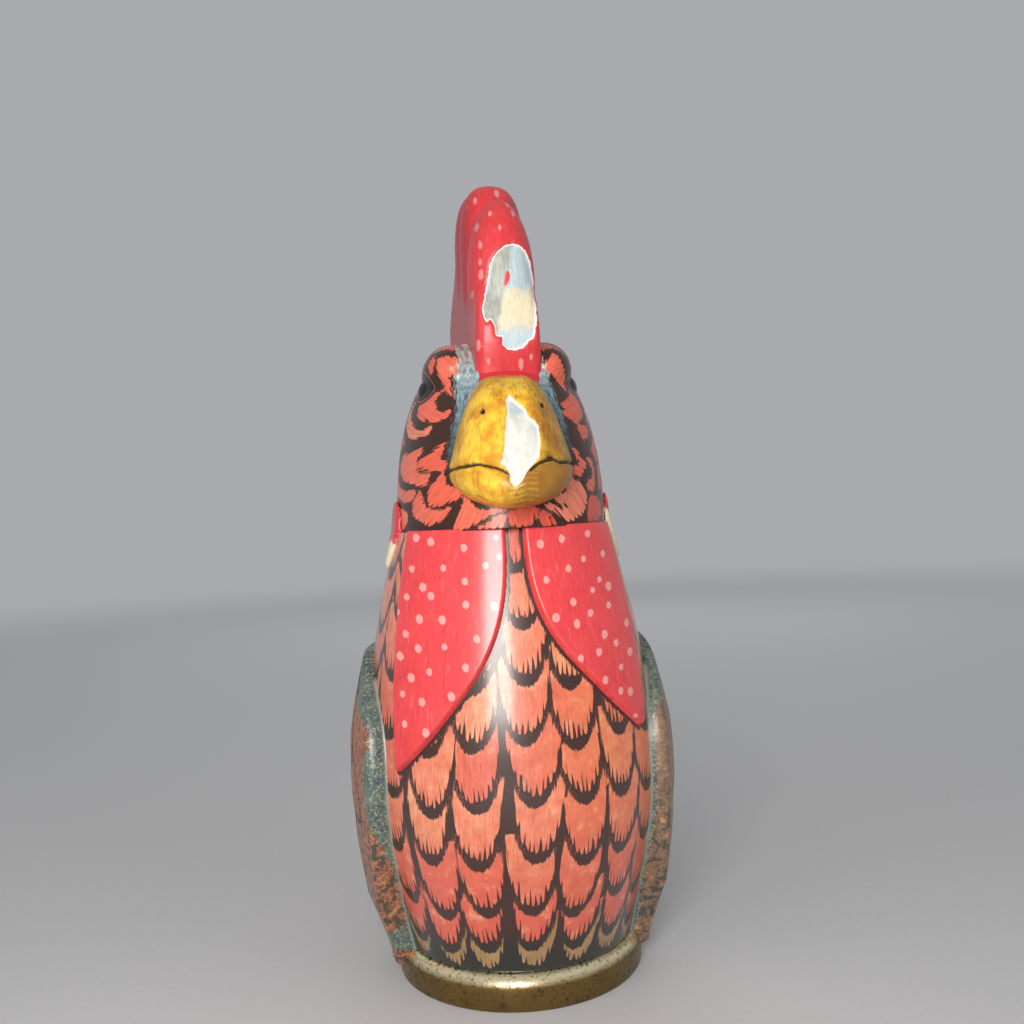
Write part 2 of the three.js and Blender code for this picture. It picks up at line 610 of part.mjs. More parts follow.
for (const [side, sign] of [["left", 1], ["right", -1]]) {
  const depth = 2 * BELLY.halfWidth;
  const prism = (outline) => solid(
    extrude(outline, depth).applyMatrix4(SIDE_VIEW).translate(sign > 0 ? 0 : -depth, 0, 0),
  );
  const skin = (rise) => solid(
    bodySkin((z) => GLUE_GAP + wingProfile.evaluate(z - PLINTH_HEIGHT)[0] + rise, 2),
  );
  const feathers = prism(wingOutline);
  const coverts = feathers.intersect(prism(covertOutline)).intersect(skin(WING_COVERT_RISE));
  const wing = feathers.intersect(skin(0)).add(coverts);
  add(`wing_${side}`, geometryOf(cut(wing, [overBody, overPlinth, ...wingHoles[side]])), WING_PAINT);
}

// Tail: the root carries on the rump behind the joint, and arched blades rise from it, wider below.
// Each outline is in shares of the tail's reach behind the joint and of its height over the plinth.
const tailRoot = bodyWhole.intersect(behindTail);
const blades = [
  [
    [0.015, 0.355], [0.055, 0.62], [0.225, 0.88], [0.505, 1], [0.79, 0.955], [0.9, 0.855],
    [0.72, 0.87], [0.575, 0.81], [0.45, 0.645], [0.31, 0.41], [0.195, 0.295],
  ],
  [
    [0.015, 0.305], [0.115, 0.53], [0.34, 0.755], [0.65, 0.825], [0.9, 0.765], [1, 0.655],
    [0.815, 0.68], [0.675, 0.625], [0.505, 0.48], [0.34, 0.33], [0.195, 0.235],
  ],
  [
    [0.015, 0.26], [0.14, 0.435], [0.395, 0.6], [0.675, 0.645], [0.885, 0.575], [0.96, 0.47],
    [0.775, 0.505], [0.62, 0.445], [0.45, 0.34], [0.255, 0.235], [0.085, 0.21],
  ],
  [
    [0.015, 0.225], [0.14, 0.34], [0.365, 0.46], [0.605, 0.48], [0.775, 0.41], [0.815, 0.33],
    [0.65, 0.36], [0.505, 0.32], [0.31, 0.26], [0.085, 0.21],
  ],
].map((shares, i) => {
  const thickness = TAIL_TOP_THICKNESS + i * TAIL_LAYER_STEP;
  const points = shares.map(([y, z]) => [TAIL_SEAT + y * TAIL_REACH, PLINTH_HEIGHT + z * TAIL_HEIGHT]);
  const blade = slab(splineShape(points), thickness, TAIL_EDGE_DEPTH, TAIL_EDGE_INSET);
  const place = blade.attributes.position;
  for (let j = 0; j < place.count; j += 1) {
    const share = Math.max((place.getY(j) - TAIL_SEAT) / TAIL_REACH, 0);
    place.setX(j, place.getX(j) * (1 - TAIL_TIP_TAPER * share));
  }
  return solid(blade);
});
const tail = blades.reduce((whole, blade) => whole.add(blade), tailRoot).intersect(behindTail);
add("tail", geometryOf(cut(tail, tailHoles)), WING_PAINT);

export default rooster;
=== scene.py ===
import math
import bpy
import numpy as np
from mathutils import Matrix, Vector


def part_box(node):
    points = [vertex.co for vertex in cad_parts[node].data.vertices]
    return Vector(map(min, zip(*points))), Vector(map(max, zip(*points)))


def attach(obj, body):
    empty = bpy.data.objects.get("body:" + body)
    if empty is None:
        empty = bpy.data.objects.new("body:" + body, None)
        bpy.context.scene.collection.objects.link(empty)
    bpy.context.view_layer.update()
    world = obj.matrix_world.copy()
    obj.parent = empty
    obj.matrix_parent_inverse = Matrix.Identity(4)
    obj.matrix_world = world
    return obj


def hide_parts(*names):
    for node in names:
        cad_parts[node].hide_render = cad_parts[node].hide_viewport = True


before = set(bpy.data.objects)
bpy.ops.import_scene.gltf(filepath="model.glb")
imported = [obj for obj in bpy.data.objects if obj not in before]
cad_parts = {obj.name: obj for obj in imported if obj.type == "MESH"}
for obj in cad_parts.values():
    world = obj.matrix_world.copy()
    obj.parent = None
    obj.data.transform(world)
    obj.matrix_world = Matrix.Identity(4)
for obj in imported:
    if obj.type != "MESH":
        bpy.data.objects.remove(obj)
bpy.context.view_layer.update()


# Studio: a pale seamless floor under even grey air, lit by a soft lamp that stands behind the camera,
# above it and to its left, and by three broad fills. The camera stands close to the figure, level, a
# little to the bird's right.
MM = 0.001
CAMERA_PLACE, CAMERA_LENS = (-0.0296, -0.3167, 0.1370), 36.035
CAMERA_TURN, CAMERA_ROLL = math.radians(-6.0), math.radians(-2.7)
BIRD_MIDDLE = (0.0, 0.0, 0.10)
AIR, AIR_SEEN = "#FFFFFF", "#A9AAAE"
FLOOR_SIZE, FLOOR_FADE = 40.0, (0.25, 2.2)

scene = bpy.context.scene
scene.view_settings.view_transform = "Standard"
bpy.ops.object.select_all(action="DESELECT")
bpy.ops.object.camera_add(location=CAMERA_PLACE)
camera = bpy.context.object
camera.name = "photo_camera"
camera.data.sensor_width = 36.0
camera.data.lens = CAMERA_LENS
camera.data.clip_start = 0.01
camera.rotation_euler = (
    Matrix.Rotation(CAMERA_TURN, 3, "Z") @ Matrix.Rotation(math.pi / 2, 3, "X")
    @ Matrix.Rotation(CAMERA_ROLL, 3, "Z")
).to_euler()
scene.camera = camera


def linear(code):
    """An sRGB hex colour as linear RGBA."""
    parts = [int(code[i:i + 2], 16) / 255 for i in (1, 3, 5)]
    return tuple(p / 12.92 if p <= 0.04045 else ((p + 0.055) / 1.055) ** 2.4 for p in parts) + (1.0,)


def wire(tree, kind, inputs=None, out=0, stops=(), **settings):
    """Adds a node, sets it up, fills or links its inputs, and gives back one of its outputs. A hex code
    stands for a colour, a Mix is a mix of colours, and the stops are those of a colour ramp."""
    made = tree.nodes.new("ShaderNode" + kind)
    if kind == "Mix":
        made.data_type, out = "RGBA", 2
    for name, value in settings.items():
        setattr(made, name, value)
    for socket, value in (inputs or {}).items():
        if isinstance(value, bpy.types.NodeSocket):
            tree.links.new(value, made.inputs[socket])
        else:
            made.inputs[socket].default_value = linear(value) if isinstance(value, str) else value
    for k, (along, code) in enumerate(stops):
        spots = made.color_ramp.elements
        spot = spots[0] if k == 0 else spots[-1] if k == len(stops) - 1 else spots.new(along)
        spot.color = linear(code)
    return made.outputs[out] if made.outputs else made


def lamp(name, place, target, width, height, watts, tint):
    """A rectangular soft lamp. Of the lamps, only the key is mirrored in the varnish."""
    bpy.ops.object.light_add(type="AREA", location=place)
    made = bpy.context.object
    made.name = name
    made.data.shape = "RECTANGLE"
    made.data.size, made.data.size_y = width, height
    made.data.energy = watts
    made.data.color = linear(tint)[:3]
    made.visible_glossy = name == "key_softbox"
    made.rotation_euler = (Vector(target) - Vector(place)).to_track_quat("-Z", "Y").to_euler()


lamp("key_softbox", (-0.100, -0.400, 0.200), (0.0, -0.02, 0.110), 0.150, 0.200, 1.40, "#FFFAF4")
lamp("left_fill", (-0.90, -0.55, 0.55), BIRD_MIDDLE, 0.80, 0.80, 2.4, "#FFFFFF")
lamp("right_fill", (0.85, -0.60, 0.50), BIRD_MIDDLE, 0.80, 0.80, 1.7, "#F8FAFF")
lamp("back_fill", (0.20, 0.95, 0.75), BIRD_MIDDLE, 0.90, 0.90, 3.2, "#FFFFFF")

world = bpy.data.worlds.new("studio_air")
scene.world = world
world.use_nodes = True
tree = world.node_tree
tree.nodes.clear()
seen = wire(tree, "LightPath").node.outputs
straight = 0.0
for ray in ("Is Camera Ray", "Is Glossy Ray", "Is Transmission Ray"):
    straight = wire(tree, "Math", {0: straight, 1: seen[ray]}, operation="MAXIMUM")
soft = wire(tree, "Background", {"Color": AIR, "Strength": 0.27})
grey = wire(tree, "Background", {"Color": AIR_SEEN, "Strength": 1.0})
air = wire(tree, "MixShader", {0: straight, 1: soft, 2: grey})
wire(tree, "OutputWorld", {"Surface": air})


def paint(name, **sockets):
    """A material with one Principled shader, whose plain values are set on its own sockets. Gives the
    material, its tree and shader, and the place on the piece for its patterns."""
    made = bpy.data.materials.new(name)
    made.use_nodes = True
    tree = made.node_tree
    tree.nodes.clear()
    plain = {socket.replace("_", " "): value for socket, value in sockets.items()}
    shader = wire(tree, "BsdfPrincipled", plain).node
    wire(tree, "OutputMaterial", {"Surface": shader.outputs[0]})
    return made, tree, shader, wire(tree, "TexCoord", out="Object")


def flecked(name, grain, detail, dark, light, harsh=0.5, **sockets):
    """A plain material, whose colour wavers between two tones at a grain in mm."""
    made, tree, shader, place = paint(name, **sockets)
    fleck = wire(tree, "TexNoise", {"Vector": place, "Scale": 1 / (grain * MM), "Detail": detail,
                                    "Roughness": harsh})
    tone = wire(tree, "Mix", {0: fleck, 6: dark, 7: light})
    tree.links.new(tone, shader.inputs["Base Color"])
    return made, tree, shader, place, fleck


def start(name, primitive, **sizes):
    """A new piece from one of Blender's primitives."""
    bpy.ops.object.select_all(action="DESELECT")
    primitive(**sizes)
    made = bpy.context.object
    made.name = made.data.name = name
    return made


floor = start("studio_floor", bpy.ops.mesh.primitive_plane_add, size=FLOOR_SIZE, location=(0.0, 0.0, 0.0))
# Matt paper: pale grey with a faint fleck, which fades into the grey of the air far from the figure.
floor_paper, tree, shader, place, _ = flecked("matt_paper", 2.0, 3.0, "#C6C7CA", "#CDCED0", Roughness=0.95)
away = wire(tree, "VectorMath", {0: place}, out="Value", operation="LENGTH")
away = wire(tree, "MapRange", {0: away, 1: FLOOR_FADE[0], 2: FLOOR_FADE[1]},
            interpolation_type="SMOOTHERSTEP")
haze = wire(tree, "Emission", {"Color": AIR_SEEN, "Strength": 1.0})
sheet = wire(tree, "MixShader", {0: away, 1: shader.outputs[0], 2: haze})
tree.links.new(sheet, tree.nodes["Material Output"].inputs["Surface"])
floor.data.materials.append(floor_paper)


# Plinth: a low oval sawn from a board, with a rounded upper edge. It is painted with
# bronze powder and rubbed with a dark glaze, and two screws through it hold the body.
PLINTH_ROUNDING, PLINTH_CHAMFER = 4.4, 0.8
PLINTH_RUBBED_AND_HIGHLIT, PLINTH_FOOT = (6.6 * MM, 8.4 * MM), (9.45 * MM, 9.95 * MM)


def box_mm(node_name):
    """The lower and the upper corner of a CAD solid's box, in mm."""
    return (np.array(corner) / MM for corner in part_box(node_name))


def points(piece):
    """The points of a piece in mm."""
    co = np.empty(3 * len(piece.data.vertices), dtype=np.float32)
    piece.data.vertices.foreach_get("co", co)
    return co.reshape(-1, 3).astype(float) / MM


def move_points(piece, co):
    piece.data.vertices.foreach_set("co", (co * MM).astype(np.float32).ravel())
    piece.data.update()


def pick(piece):
    """Selects one piece alone."""
    bpy.ops.object.select_all(action="DESELECT")
    piece.select_set(True)
    bpy.context.view_layer.objects.active = piece


def edit(piece):
    """Opens one piece in edit mode with all of it selected."""
    pick(piece)
    bpy.ops.object.mode_set(mode="EDIT")
    bpy.ops.mesh.select_all(action="SELECT")


def close_up(piece):
    bpy.ops.object.mode_set(mode="OBJECT")
    piece.data.update()


def hand_over(piece, finish, slot, *nodes):
    """Smooth shading, one finish, and the piece's place in the assembly."""
    pick(piece)
    bpy.ops.object.shade_smooth()
    piece.data.materials.clear()
    piece.data.materials.append(finish)
    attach(piece, "root")
    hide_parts(*nodes)


def select_edges(piece, test):
    """Leaves only the edges selected whose both ends pass the test on their place in mm."""
    bpy.ops.mesh.select_all(action="DESELECT")
    bpy.ops.mesh.select_mode(type="EDGE")
    bpy.ops.object.mode_set(mode="OBJECT")
    ends = np.empty(2 * len(piece.data.edges), dtype=np.int32)
    piece.data.edges.foreach_get("vertices", ends)
    passed = test(points(piece))[ends.reshape(-1, 2)].all(1)
    piece.data.edges.foreach_set("select", passed)
    bpy.ops.object.mode_set(mode="EDIT")


def lay(tree, under, over, value, none, full, share=1.0):
    """One colour laid over another: not at all where a value is at none, and by its share at full."""
    mask = wire(tree, "MapRange", {0: value, 1: none, 2: full, 3: 0.0, 4: share})
    return wire(tree, "Mix", {0: mask, 6: under, 7: over})


plinth_low, plinth_high = box_mm("plinth")
plinth = start("gilt_plinth", bpy.ops.mesh.primitive_cylinder_add, vertices=240, radius=1.0, depth=1.0)
co = points(plinth) * MM
oval = np.where(co[:, 1] < 0, -plinth_low[1], plinth_high[1])
move_points(plinth, np.stack([
    co[:, 0] * plinth_high[0], co[:, 1] * oval, np.where(co[:, 2] < 0, plinth_low[2], plinth_high[2]),
], 1))
edit(plinth)
select_edges(plinth, lambda p: p[:, 2] > plinth_high[2] - 0.1)
bpy.ops.mesh.bevel(offset=PLINTH_ROUNDING * MM, segments=10, affect="EDGES", profile=0.5)
select_edges(plinth, lambda p: p[:, 2] < plinth_low[2] + 0.1)
bpy.ops.mesh.bevel(offset=PLINTH_CHAMFER * MM, segments=3, affect="EDGES", profile=0.5)
close_up(plinth)

# Bronze powder paint: a soft metal lustre, paler and smoother along the rim, which is partly rubbed and
# partly carries a painted highlight, with dark flecks of glaze and a dark line where the body stands on it.
gilt, tree, shader, place = paint("bronze_powder_paint", Metallic=0.75, Coat_Weight=0.25,
                                  Coat_Roughness=0.2)
height = wire(tree, "SeparateXYZ", {0: place}, out=2)
cloud = wire(tree, "TexNoise", {"Vector": place, "Scale": 1 / (9 * MM), "Detail": 4.0, "Roughness": 0.6})
fleck = wire(tree, "TexNoise", {"Vector": place, "Scale": 1 / (1.1 * MM), "Detail": 3.0, "Roughness": 0.65})
gold = wire(tree, "Mix", {0: cloud, 6: "#54401F", 7: "#8C6E38"})
# The pale rim: partly rubbed gilding, partly a painted highlight along the rounded upper edge.
gold = lay(tree, gold, "#F7EAC0", height, *PLINTH_RUBBED_AND_HIGHLIT, 0.9)
gold = lay(tree, gold, "#3A2E1A", fleck, 0.54, 0.66, 0.85)
edge = wire(tree, "MapRange", {0: fleck, 1: 0.3, 2: 0.7, 3: -0.25 * MM, 4: 0.25 * MM})
edge = wire(tree, "Math", {0: height, 1: edge}, operation="ADD")
gold = lay(tree, gold, "#1D231F", edge, *PLINTH_FOOT, 0.95)
tree.links.new(gold, shader.inputs["Base Color"])
rough = wire(tree, "MapRange", {0: fleck, 1: 0.3, 2: 0.7, 3: 0.32, 4: 0.52})
polish = wire(tree, "MapRange", {0: height, 1: PLINTH_RUBBED_AND_HIGHLIT[0], 2: PLINTH_RUBBED_AND_HIGHLIT[1], 3: 1.0, 4: 0.6})
rough = wire(tree, "Math", {0: rough, 1: polish}, operation="MULTIPLY")
tree.links.new(rough, shader.inputs["Roughness"])
relief = wire(tree, "Bump", {"Height": fleck, "Strength": 0.25, "Distance": 0.25 * MM})
tree.links.new(relief, shader.inputs["Normal"])
hand_over(plinth, gilt, "gilt", "plinth")


# Body: one block of light wood carved to an egg-shaped breast and belly, flat on the plinth, at the
# neck and at the tail joint. Every feather is painted with a brush on a dark ground and varnished.
# Distances in mm that stand for not painted, and for away from all of the bird.
UNPAINTED, AWAY = -6.0, 60.0
RINGS = 15
FEATHER_COLUMNS, FEATHER_TOP, FEATHER_FOOT = 19, 165.0, 8.0
FEATHER_TIPS = (151.0, 137.0, 123.0, 108.6, 93.2, 76.6, 61.6, 45.6, 31.0, 18.8, 11.4)
FEATHER_GAP, FEATHER_OUTLINE = 0.28, 2.9
FEATHER_TIP_FORM, FEATHER_CUP_FORM = (1.00, 3.0), (0.74, 2.2)
FEATHER_DROP, FEATHER_WAVE, FEATHER_WAVE_TURN, FEATHER_JITTER = 1.6, 1.1, 2.4, 1.4
FEATHER_FULL_DROP, FEATHER_FULL_JITTER, FEATHER_WIDEST = 25.0, 20.0, 5.0
FEATHER_SWAY, FEATHER_LEAN, FEATHER_WIDTHS = 0.03, 0.09, (0.97, 1.07)
STRAW_STRETCH = 1.45

body_low, body_high = box_mm("body_block")
ring_heights = np.linspace(body_low[2], body_high[2], RINGS)
cad_body = points(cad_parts["body_block"])
# The rump is cut off flat, so the reach to the back is taken from the point 30 degrees behind the side,
# which lies half as far back.
profile = []
for height in ring_heights:
    ring = cad_body[np.abs(cad_body[:, 2] - height) < 0.02]
    half = ring[:, 0].max()
    rear = ring[(ring[:, 1] > 0) & (np.abs(ring[:, 0] - half * math.cos(math.pi / 6)) < 0.05)]
    profile.append((half, -ring[:, 1].min(), 2 * rear[:, 1].max()))
profile = np.array(profile)


def through(a, b, c, d, t):
    """A share t of the way from b to c, on the smooth curve through all four."""
    return b + 0.5 * t * (c - a + t * (2 * a - 5 * b + 4 * c - d + t * (3 * (b - c) + d - a)))


def girth(height):
    """Half width and the reach to the front and to the back of the carved body at heights in mm."""
    place = (np.asarray(height, float) - ring_heights[0]) / (ring_heights[1] - ring_heights[0])
    place = np.clip(place, 0.0, RINGS - 1.0001)
    i = place.astype(int)
    p = np.vstack([2 * profile[0] - profile[1], profile, 2 * profile[-1] - profile[-2]])
    return through(p[i], p[i + 1], p[i + 2], p[i + 3], (place - i)[..., None])


def on_body(turn, height):
    """Points on the body's skin: turn runs from the breast towards the bird's left."""
    half, front, back = np.moveaxis(girth(height), -1, 0)
    reach = np.where(np.cos(turn) > 0, front, back)
    return np.stack([half * np.sin(turn), -reach * np.cos(turn), height + 0.0 * turn], -1)


def body_skin(name, around, up):
    """A closed skin of the whole egg-shaped body, from the plinth to the neck joint."""
    made = start(name, bpy.ops.mesh.primitive_grid_add, x_subdivisions=around, y_subdivisions=up, size=2.0)
    flat = points(made) * MM
    turn = math.pi * flat[:, 0]
    height = body_low[2] + (body_high[2] - body_low[2]) * (flat[:, 1] + 1) / 2
    move_points(made, on_body(turn, height))
    edit(made)
    bpy.ops.mesh.remove_doubles(threshold=1e-6)
    for level in (body_low[2], body_high[2]):
        select_edges(made, lambda p: np.abs(p[:, 2] - level) < 0.01)
        bpy.ops.mesh.edge_face_add()
    bpy.ops.mesh.select_all(action="SELECT")
    bpy.ops.mesh.normals_make_consistent(inside=False)
    close_up(made)
    return made


def saw(piece, place, across, **kept):
    """Cuts a piece off flat at a place in mm."""
    edit(piece)
    bpy.ops.mesh.bisect(plane_co=[p * MM for p in place], plane_no=across, use_fill=True, **kept)
    close_up(piece)


rump = (0, body_high[1], 0)
body = body_skin("carved_body", 400, 190)
saw(body, rump, (0, 1, 0), clear_outer=True)


def unit(v):
    return v / np.maximum(np.linalg.norm(v, axis=-1, keepdims=True), 1e-9)


def lay_feathers(co, feathers, gap, outline, tip_form, cup_form, notched):
    """Lays out painted feathers, upper ones first. A feather is its tip, the way it points, the way
    across, its width and its length, in mm. The forms are the rise and the power of the curves of its tip
    and of the dark cup under it. Gives the mm inside each painted edge, and for the brush strokes the mm
    across, the mm from the tip and the feather's number."""
    edge = np.full(len(co), UNPAINTED)
    cover = np.full(len(co), -AWAY)
    stroke = np.zeros((len(co), 3))
    for number, (tip, ahead, across, width, length) in enumerate(feathers):
        offset = co - tip
        near = np.flatnonzero((offset ** 2).sum(1) < (1.6 * max(width, length)) ** 2)
        side = offset[near] @ across
        above = -(offset[near] @ ahead)
        share = np.abs(2 * side / width)
        (curve, power), (cup, cup_power) = tip_form, cup_form
        slope = 2 * curve * power * share ** (power - 1)
        from_tip = above - curve * width * share ** power
        shown = np.minimum(from_tip / np.sqrt(1 + slope ** 2), width / 2 - gap - np.abs(side))
        shown = np.minimum(shown, -cover[near])
        if notched:
            inner = (above - length - curve * width * (1.3 * share) ** 2) / np.sqrt(1 + 2.8 * slope ** 2)
            shown = np.minimum(shown, -inner)
        better = shown > edge[near]
        edge[near[better]] = shown[better]
        stroke[near[better]] = np.stack([side, from_tip, np.full(len(side), float(number))], 1)[better]
        slope = 2 * cup * cup_power * share ** (cup_power - 1)
        below = (above + outline - cup * width * share ** cup_power) / np.sqrt(1 + slope ** 2)
        cover[near] = np.maximum(cover[near], np.where(np.abs(side) < width / 2 + gap, below, -AWAY))
    return edge, stroke


def write(piece, name, values):
    """One number, or three, for each point of a piece, for its material to read."""
    values = np.asarray(values, dtype=np.float32)
    layer = piece.data.attributes.new(name, "FLOAT" if values.ndim == 1 else "FLOAT_VECTOR", "POINT")
    layer.data.foreach_set("value" if values.ndim == 1 else "vector", values.ravel())


rng = np.random.default_rng(11)
pitch = math.pi / FEATHER_COLUMNS
feathers = []
for above, level in zip((FEATHER_TOP,) + FEATHER_TIPS, FEATHER_TIPS):
    for column in range(FEATHER_COLUMNS):
        aside = (column + FEATHER_COLUMNS // 2) % FEATHER_COLUMNS - FEATHER_COLUMNS // 2
        up = level - FEATHER_FOOT
        late = 0.0 if aside == 0 else FEATHER_DROP + FEATHER_WAVE * math.sin(FEATHER_WAVE_TURN * aside)
        jitter = rng.uniform(-FEATHER_JITTER, FEATHER_JITTER) * min(1.0, up / FEATHER_FULL_JITTER)
        height = level - late * min(1.0, up / FEATHER_FULL_DROP) + jitter
        turn = 2 * pitch * aside + rng.uniform(-FEATHER_SWAY, FEATHER_SWAY)
        tip = on_body(turn, height)
        ahead = unit(on_body(turn, height - 1.0) - tip)
        across = unit(on_body(turn + 0.01, height) - tip)
        sides = (on_body(turn + way * pitch, height + FEATHER_WIDEST) for way in (1, -1))
        width = np.linalg.norm(np.subtract(*sides))
        lean = rng.uniform(-FEATHER_LEAN, FEATHER_LEAN)
        feathers.append((tip, unit(ahead + lean * across), unit(across - lean * ahead),
                         width * rng.uniform(*FEATHER_WIDTHS), above - level))
body_edge, stroke = lay_feathers(points(body), feathers, FEATHER_GAP, FEATHER_OUTLINE, FEATHER_TIP_FORM,
                                 FEATHER_CUP_FORM, False)
last_row = FEATHER_COLUMNS * (len(FEATHER_TIPS) - 1)
stroke[:, 1] *= np.where(stroke[:, 2] < last_row, 1.0, STRAW_STRETCH)
write(body, "feather_edge", body_edge)
write(body, "feather_stroke", stroke)


def feather_paint(name, tones, grounds, fringe, varnish):
    """Brushed feathers on a dark ground under a gloss varnish: comb-like dark strokes run up into every
    tip, fine streaks run along each feather, and every feather has a tone of its own."""
    made, tree, shader, place = paint(name, Roughness=0.38, Specular_IOR_Level=0.5 * varnish,
                                      Coat_Weight=varnish, Coat_Roughness=0.18)
    edge = wire(tree, "Attribute", out="Fac", attribute_name="feather_edge")
    stroke = wire(tree, "Attribute", out="Vector", attribute_name="feather_stroke")
    across, from_tip, number = wire(tree, "SeparateXYZ", {0: stroke}).node.outputs
    lines = wire(tree, "VectorMath", {0: stroke, 1: (1 / 1.1, 1 / 14.0, 3.7)}, operation="MULTIPLY")
    sway = wire(tree, "TexNoise", {"Vector": lines, "Scale": 0.8, "Detail": 1.0})
    tooth = wire(tree, "Math", {0: across, 1: 1 / 1.45, 2: sway}, operation="MULTIPLY_ADD")
    tooth = wire(tree, "Math", {0: tooth, 1: 0.5}, operation="PINGPONG")
    tooth = wire(tree, "MapRange", {0: tooth, 1: 0.0, 2: 0.30, 3: 1.0, 4: 0.0})
    long = wire(tree, "TexNoise", {"Vector": lines, "Scale": 1.3, "Detail": 1.0, "W": 5.0},
                noise_dimensions="4D")
    long = wire(tree, "MapRange", {0: long, 1: 0.32, 2: 0.68, 3: 0.3 * fringe, 4: fringe})
    reach = wire(tree, "Math", {0: tooth, 1: long}, operation="MULTIPLY")
    finger = wire(tree, "TexNoise", {"Vector": lines, "Scale": 0.9, "Detail": 0.0, "W": 9.0},
                  noise_dimensions="4D")
    finger = wire(tree, "MapRange", {0: finger, 1: 0.3, 2: 0.7, 3: 0.0, 4: 0.25 * fringe})
    at_tip = wire(tree, "Math", {0: from_tip, 1: reach}, operation="SUBTRACT")
    at_tip = wire(tree, "Math", {0: at_tip, 1: finger}, operation="SUBTRACT")
    at_tip = wire(tree, "MapRange", {0: at_tip, 1: -0.10, 2: 0.16})
    ragged = wire(tree, "TexNoise", {"Vector": lines, "Scale": 2.6, "Detail": 2.0})
    ragged = wire(tree, "MapRange", {0: ragged, 1: 0.25, 2: 0.75, 3: -0.55, 4: 0.55})
    rim = wire(tree, "Math", {0: edge, 1: ragged}, operation="ADD")
    rim = wire(tree, "MapRange", {0: rim, 1: -0.10, 2: 0.14})
    painted = wire(tree, "Math", {0: at_tip, 1: rim}, operation="MULTIPLY")
    lot = wire(tree, "TexWhiteNoise", {"W": number}, noise_dimensions="1D")
    tone = wire(tree, "ValToRGB", {0: lot}, stops=tuple(zip((0.0, 0.45, 0.8, 1.0), tones)))
    streak = wire(tree, "TexNoise", {"Vector": lines, "Scale": 3.4, "Detail": 3.0, "Roughness": 0.6})
    streak = wire(tree, "MapRange", {0: streak, 1: 0.25, 2: 0.75, 3: 0.58, 4: 1.22})
    tone = wire(tree, "Mix", {0: 1.0, 6: tone, 7: streak}, blend_type="MULTIPLY")
    grain = wire(tree, "TexNoise", {"Vector": place, "Scale": 1 / (0.7 * MM), "Detail": 3.0})
    ground = wire(tree, "Mix", {0: grain, 6: grounds[0], 7: grounds[1]})
    relief = wire(tree, "Math", {0: grain, 1: painted}, operation="ADD")
    relief = wire(tree, "Bump", {"Height": relief, "Strength": 0.22, "Distance": 0.16 * MM})
    tree.links.new(relief, shader.inputs["Normal"])
    return made, tree, shader, place, painted, tone, ground, number


def wander(tree, place, grain, reach, detail=3.0):
    """Noise at a grain in mm, as a shift by up to a reach either way."""
    noise = wire(tree, "TexNoise", {"Vector": place, "Scale": 1 / (grain * MM), "Detail": detail})
    return wire(tree, "MapRange", {0: noise, 1: 0.3, 2: 0.7, 3: -reach, 4: reach})


# The body's feathers: salmon, more orange on the bird's left and redder towards the plinth, with darker
# and paler blotches. The last row is straw yellow, on a ground that turns dark green at the foot.
body_paint, tree, shader, place, painted, tone, ground, number = feather_paint(
    "brushed_feathers_varnished", ("#DE6A55", "#E97F62", "#EE9470", "#F2AE7E"), ("#24100A", "#482417"),
    5.6, 0.95)
aside, _, height = wire(tree, "SeparateXYZ", {0: place}).node.outputs
tone = lay(tree, tone, "#EC7E48", aside, 0.0, 20 * MM, 0.6)
tone = lay(tree, tone, "#D85A46", height, 66 * MM, 28 * MM, 0.85)
blush = wire(tree, "TexNoise", {"Vector": place, "Scale": 1 / (3.6 * MM), "Detail": 4.0, "Roughness": 0.65})
tone = lay(tree, tone, "#C9503F", blush, 0.48, 0.70, 0.55)
tone = lay(tree, tone, "#F4B48C", blush, 0.44, 0.30, 0.5)
straw = wire(tree, "Mix", {0: blush, 6: "#5E4B2A", 7: "#BFA36C"})
tone = lay(tree, tone, straw, number, last_row - 0.6, last_row - 0.5, 0.9)
low = wire(tree, "Math", {0: height, 1: wander(tree, place, 14, 3 * MM, 1.0)}, operation="ADD")
ground = lay(tree, ground, "#161E1A", low, 24 * MM, 15 * MM, 0.9)
skin_colour = wire(tree, "Mix", {0: painted, 6: ground, 7: tone})
tree.links.new(skin_colour, shader.inputs["Base Color"])
hand_over(body, body_paint, "feather_paint", "body_block")


# Wattles: two thin lapels of wood glued on the breast under the chin, with rounded edges. They are
# painted signal red with dabbed pale dots, and varnished. The bird's right one is the longer.
WATTLE_THICKNESS, WATTLE_ROUNDING, WATTLE_SINK, WATTLE_OUTLINE_AND_SHADOW = 2.4, 0.8, 0.5, 1.0
WATTLE_TIP, WATTLE_SHOULDER, WATTLE_OVER, WATTLE_GRID = 34.0, 27.0, 3.0, 0.32
WATTLE_DOT_SIZES = (0.95, 1.3)
WATTLE_DOTS_RIGHT = (
    (-26.6, 131), (-22.7, 129.8), (-13.9, 127.8), (-28.2, 122.4), (-19.7, 122.5), (-14.2, 118.8),
    (-8.5, 122.9), (-4.7, 125.1), (-5.2, 130.4), (-25.5, 117.4), (-23.4, 115.0), (-30.0, 114.6),
    (-14.3, 112.7), (-6.9, 112.0), (-26.8, 108.8), (-20.8, 108.7), (-30.8, 104.6), (-12.0, 103.6),
    (-27.5, 100.9), (-20.6, 101.6), (-15.3, 96.2), (-24.9, 94.9), (-29.9, 93.0), (-32.4, 88.5),
    (-27.2, 86.8), (-19.4, 88.6), (-32.2, 80.5), (-26.6, 78.8), (-32.6, 98.5), (-32.8, 110.5),
)
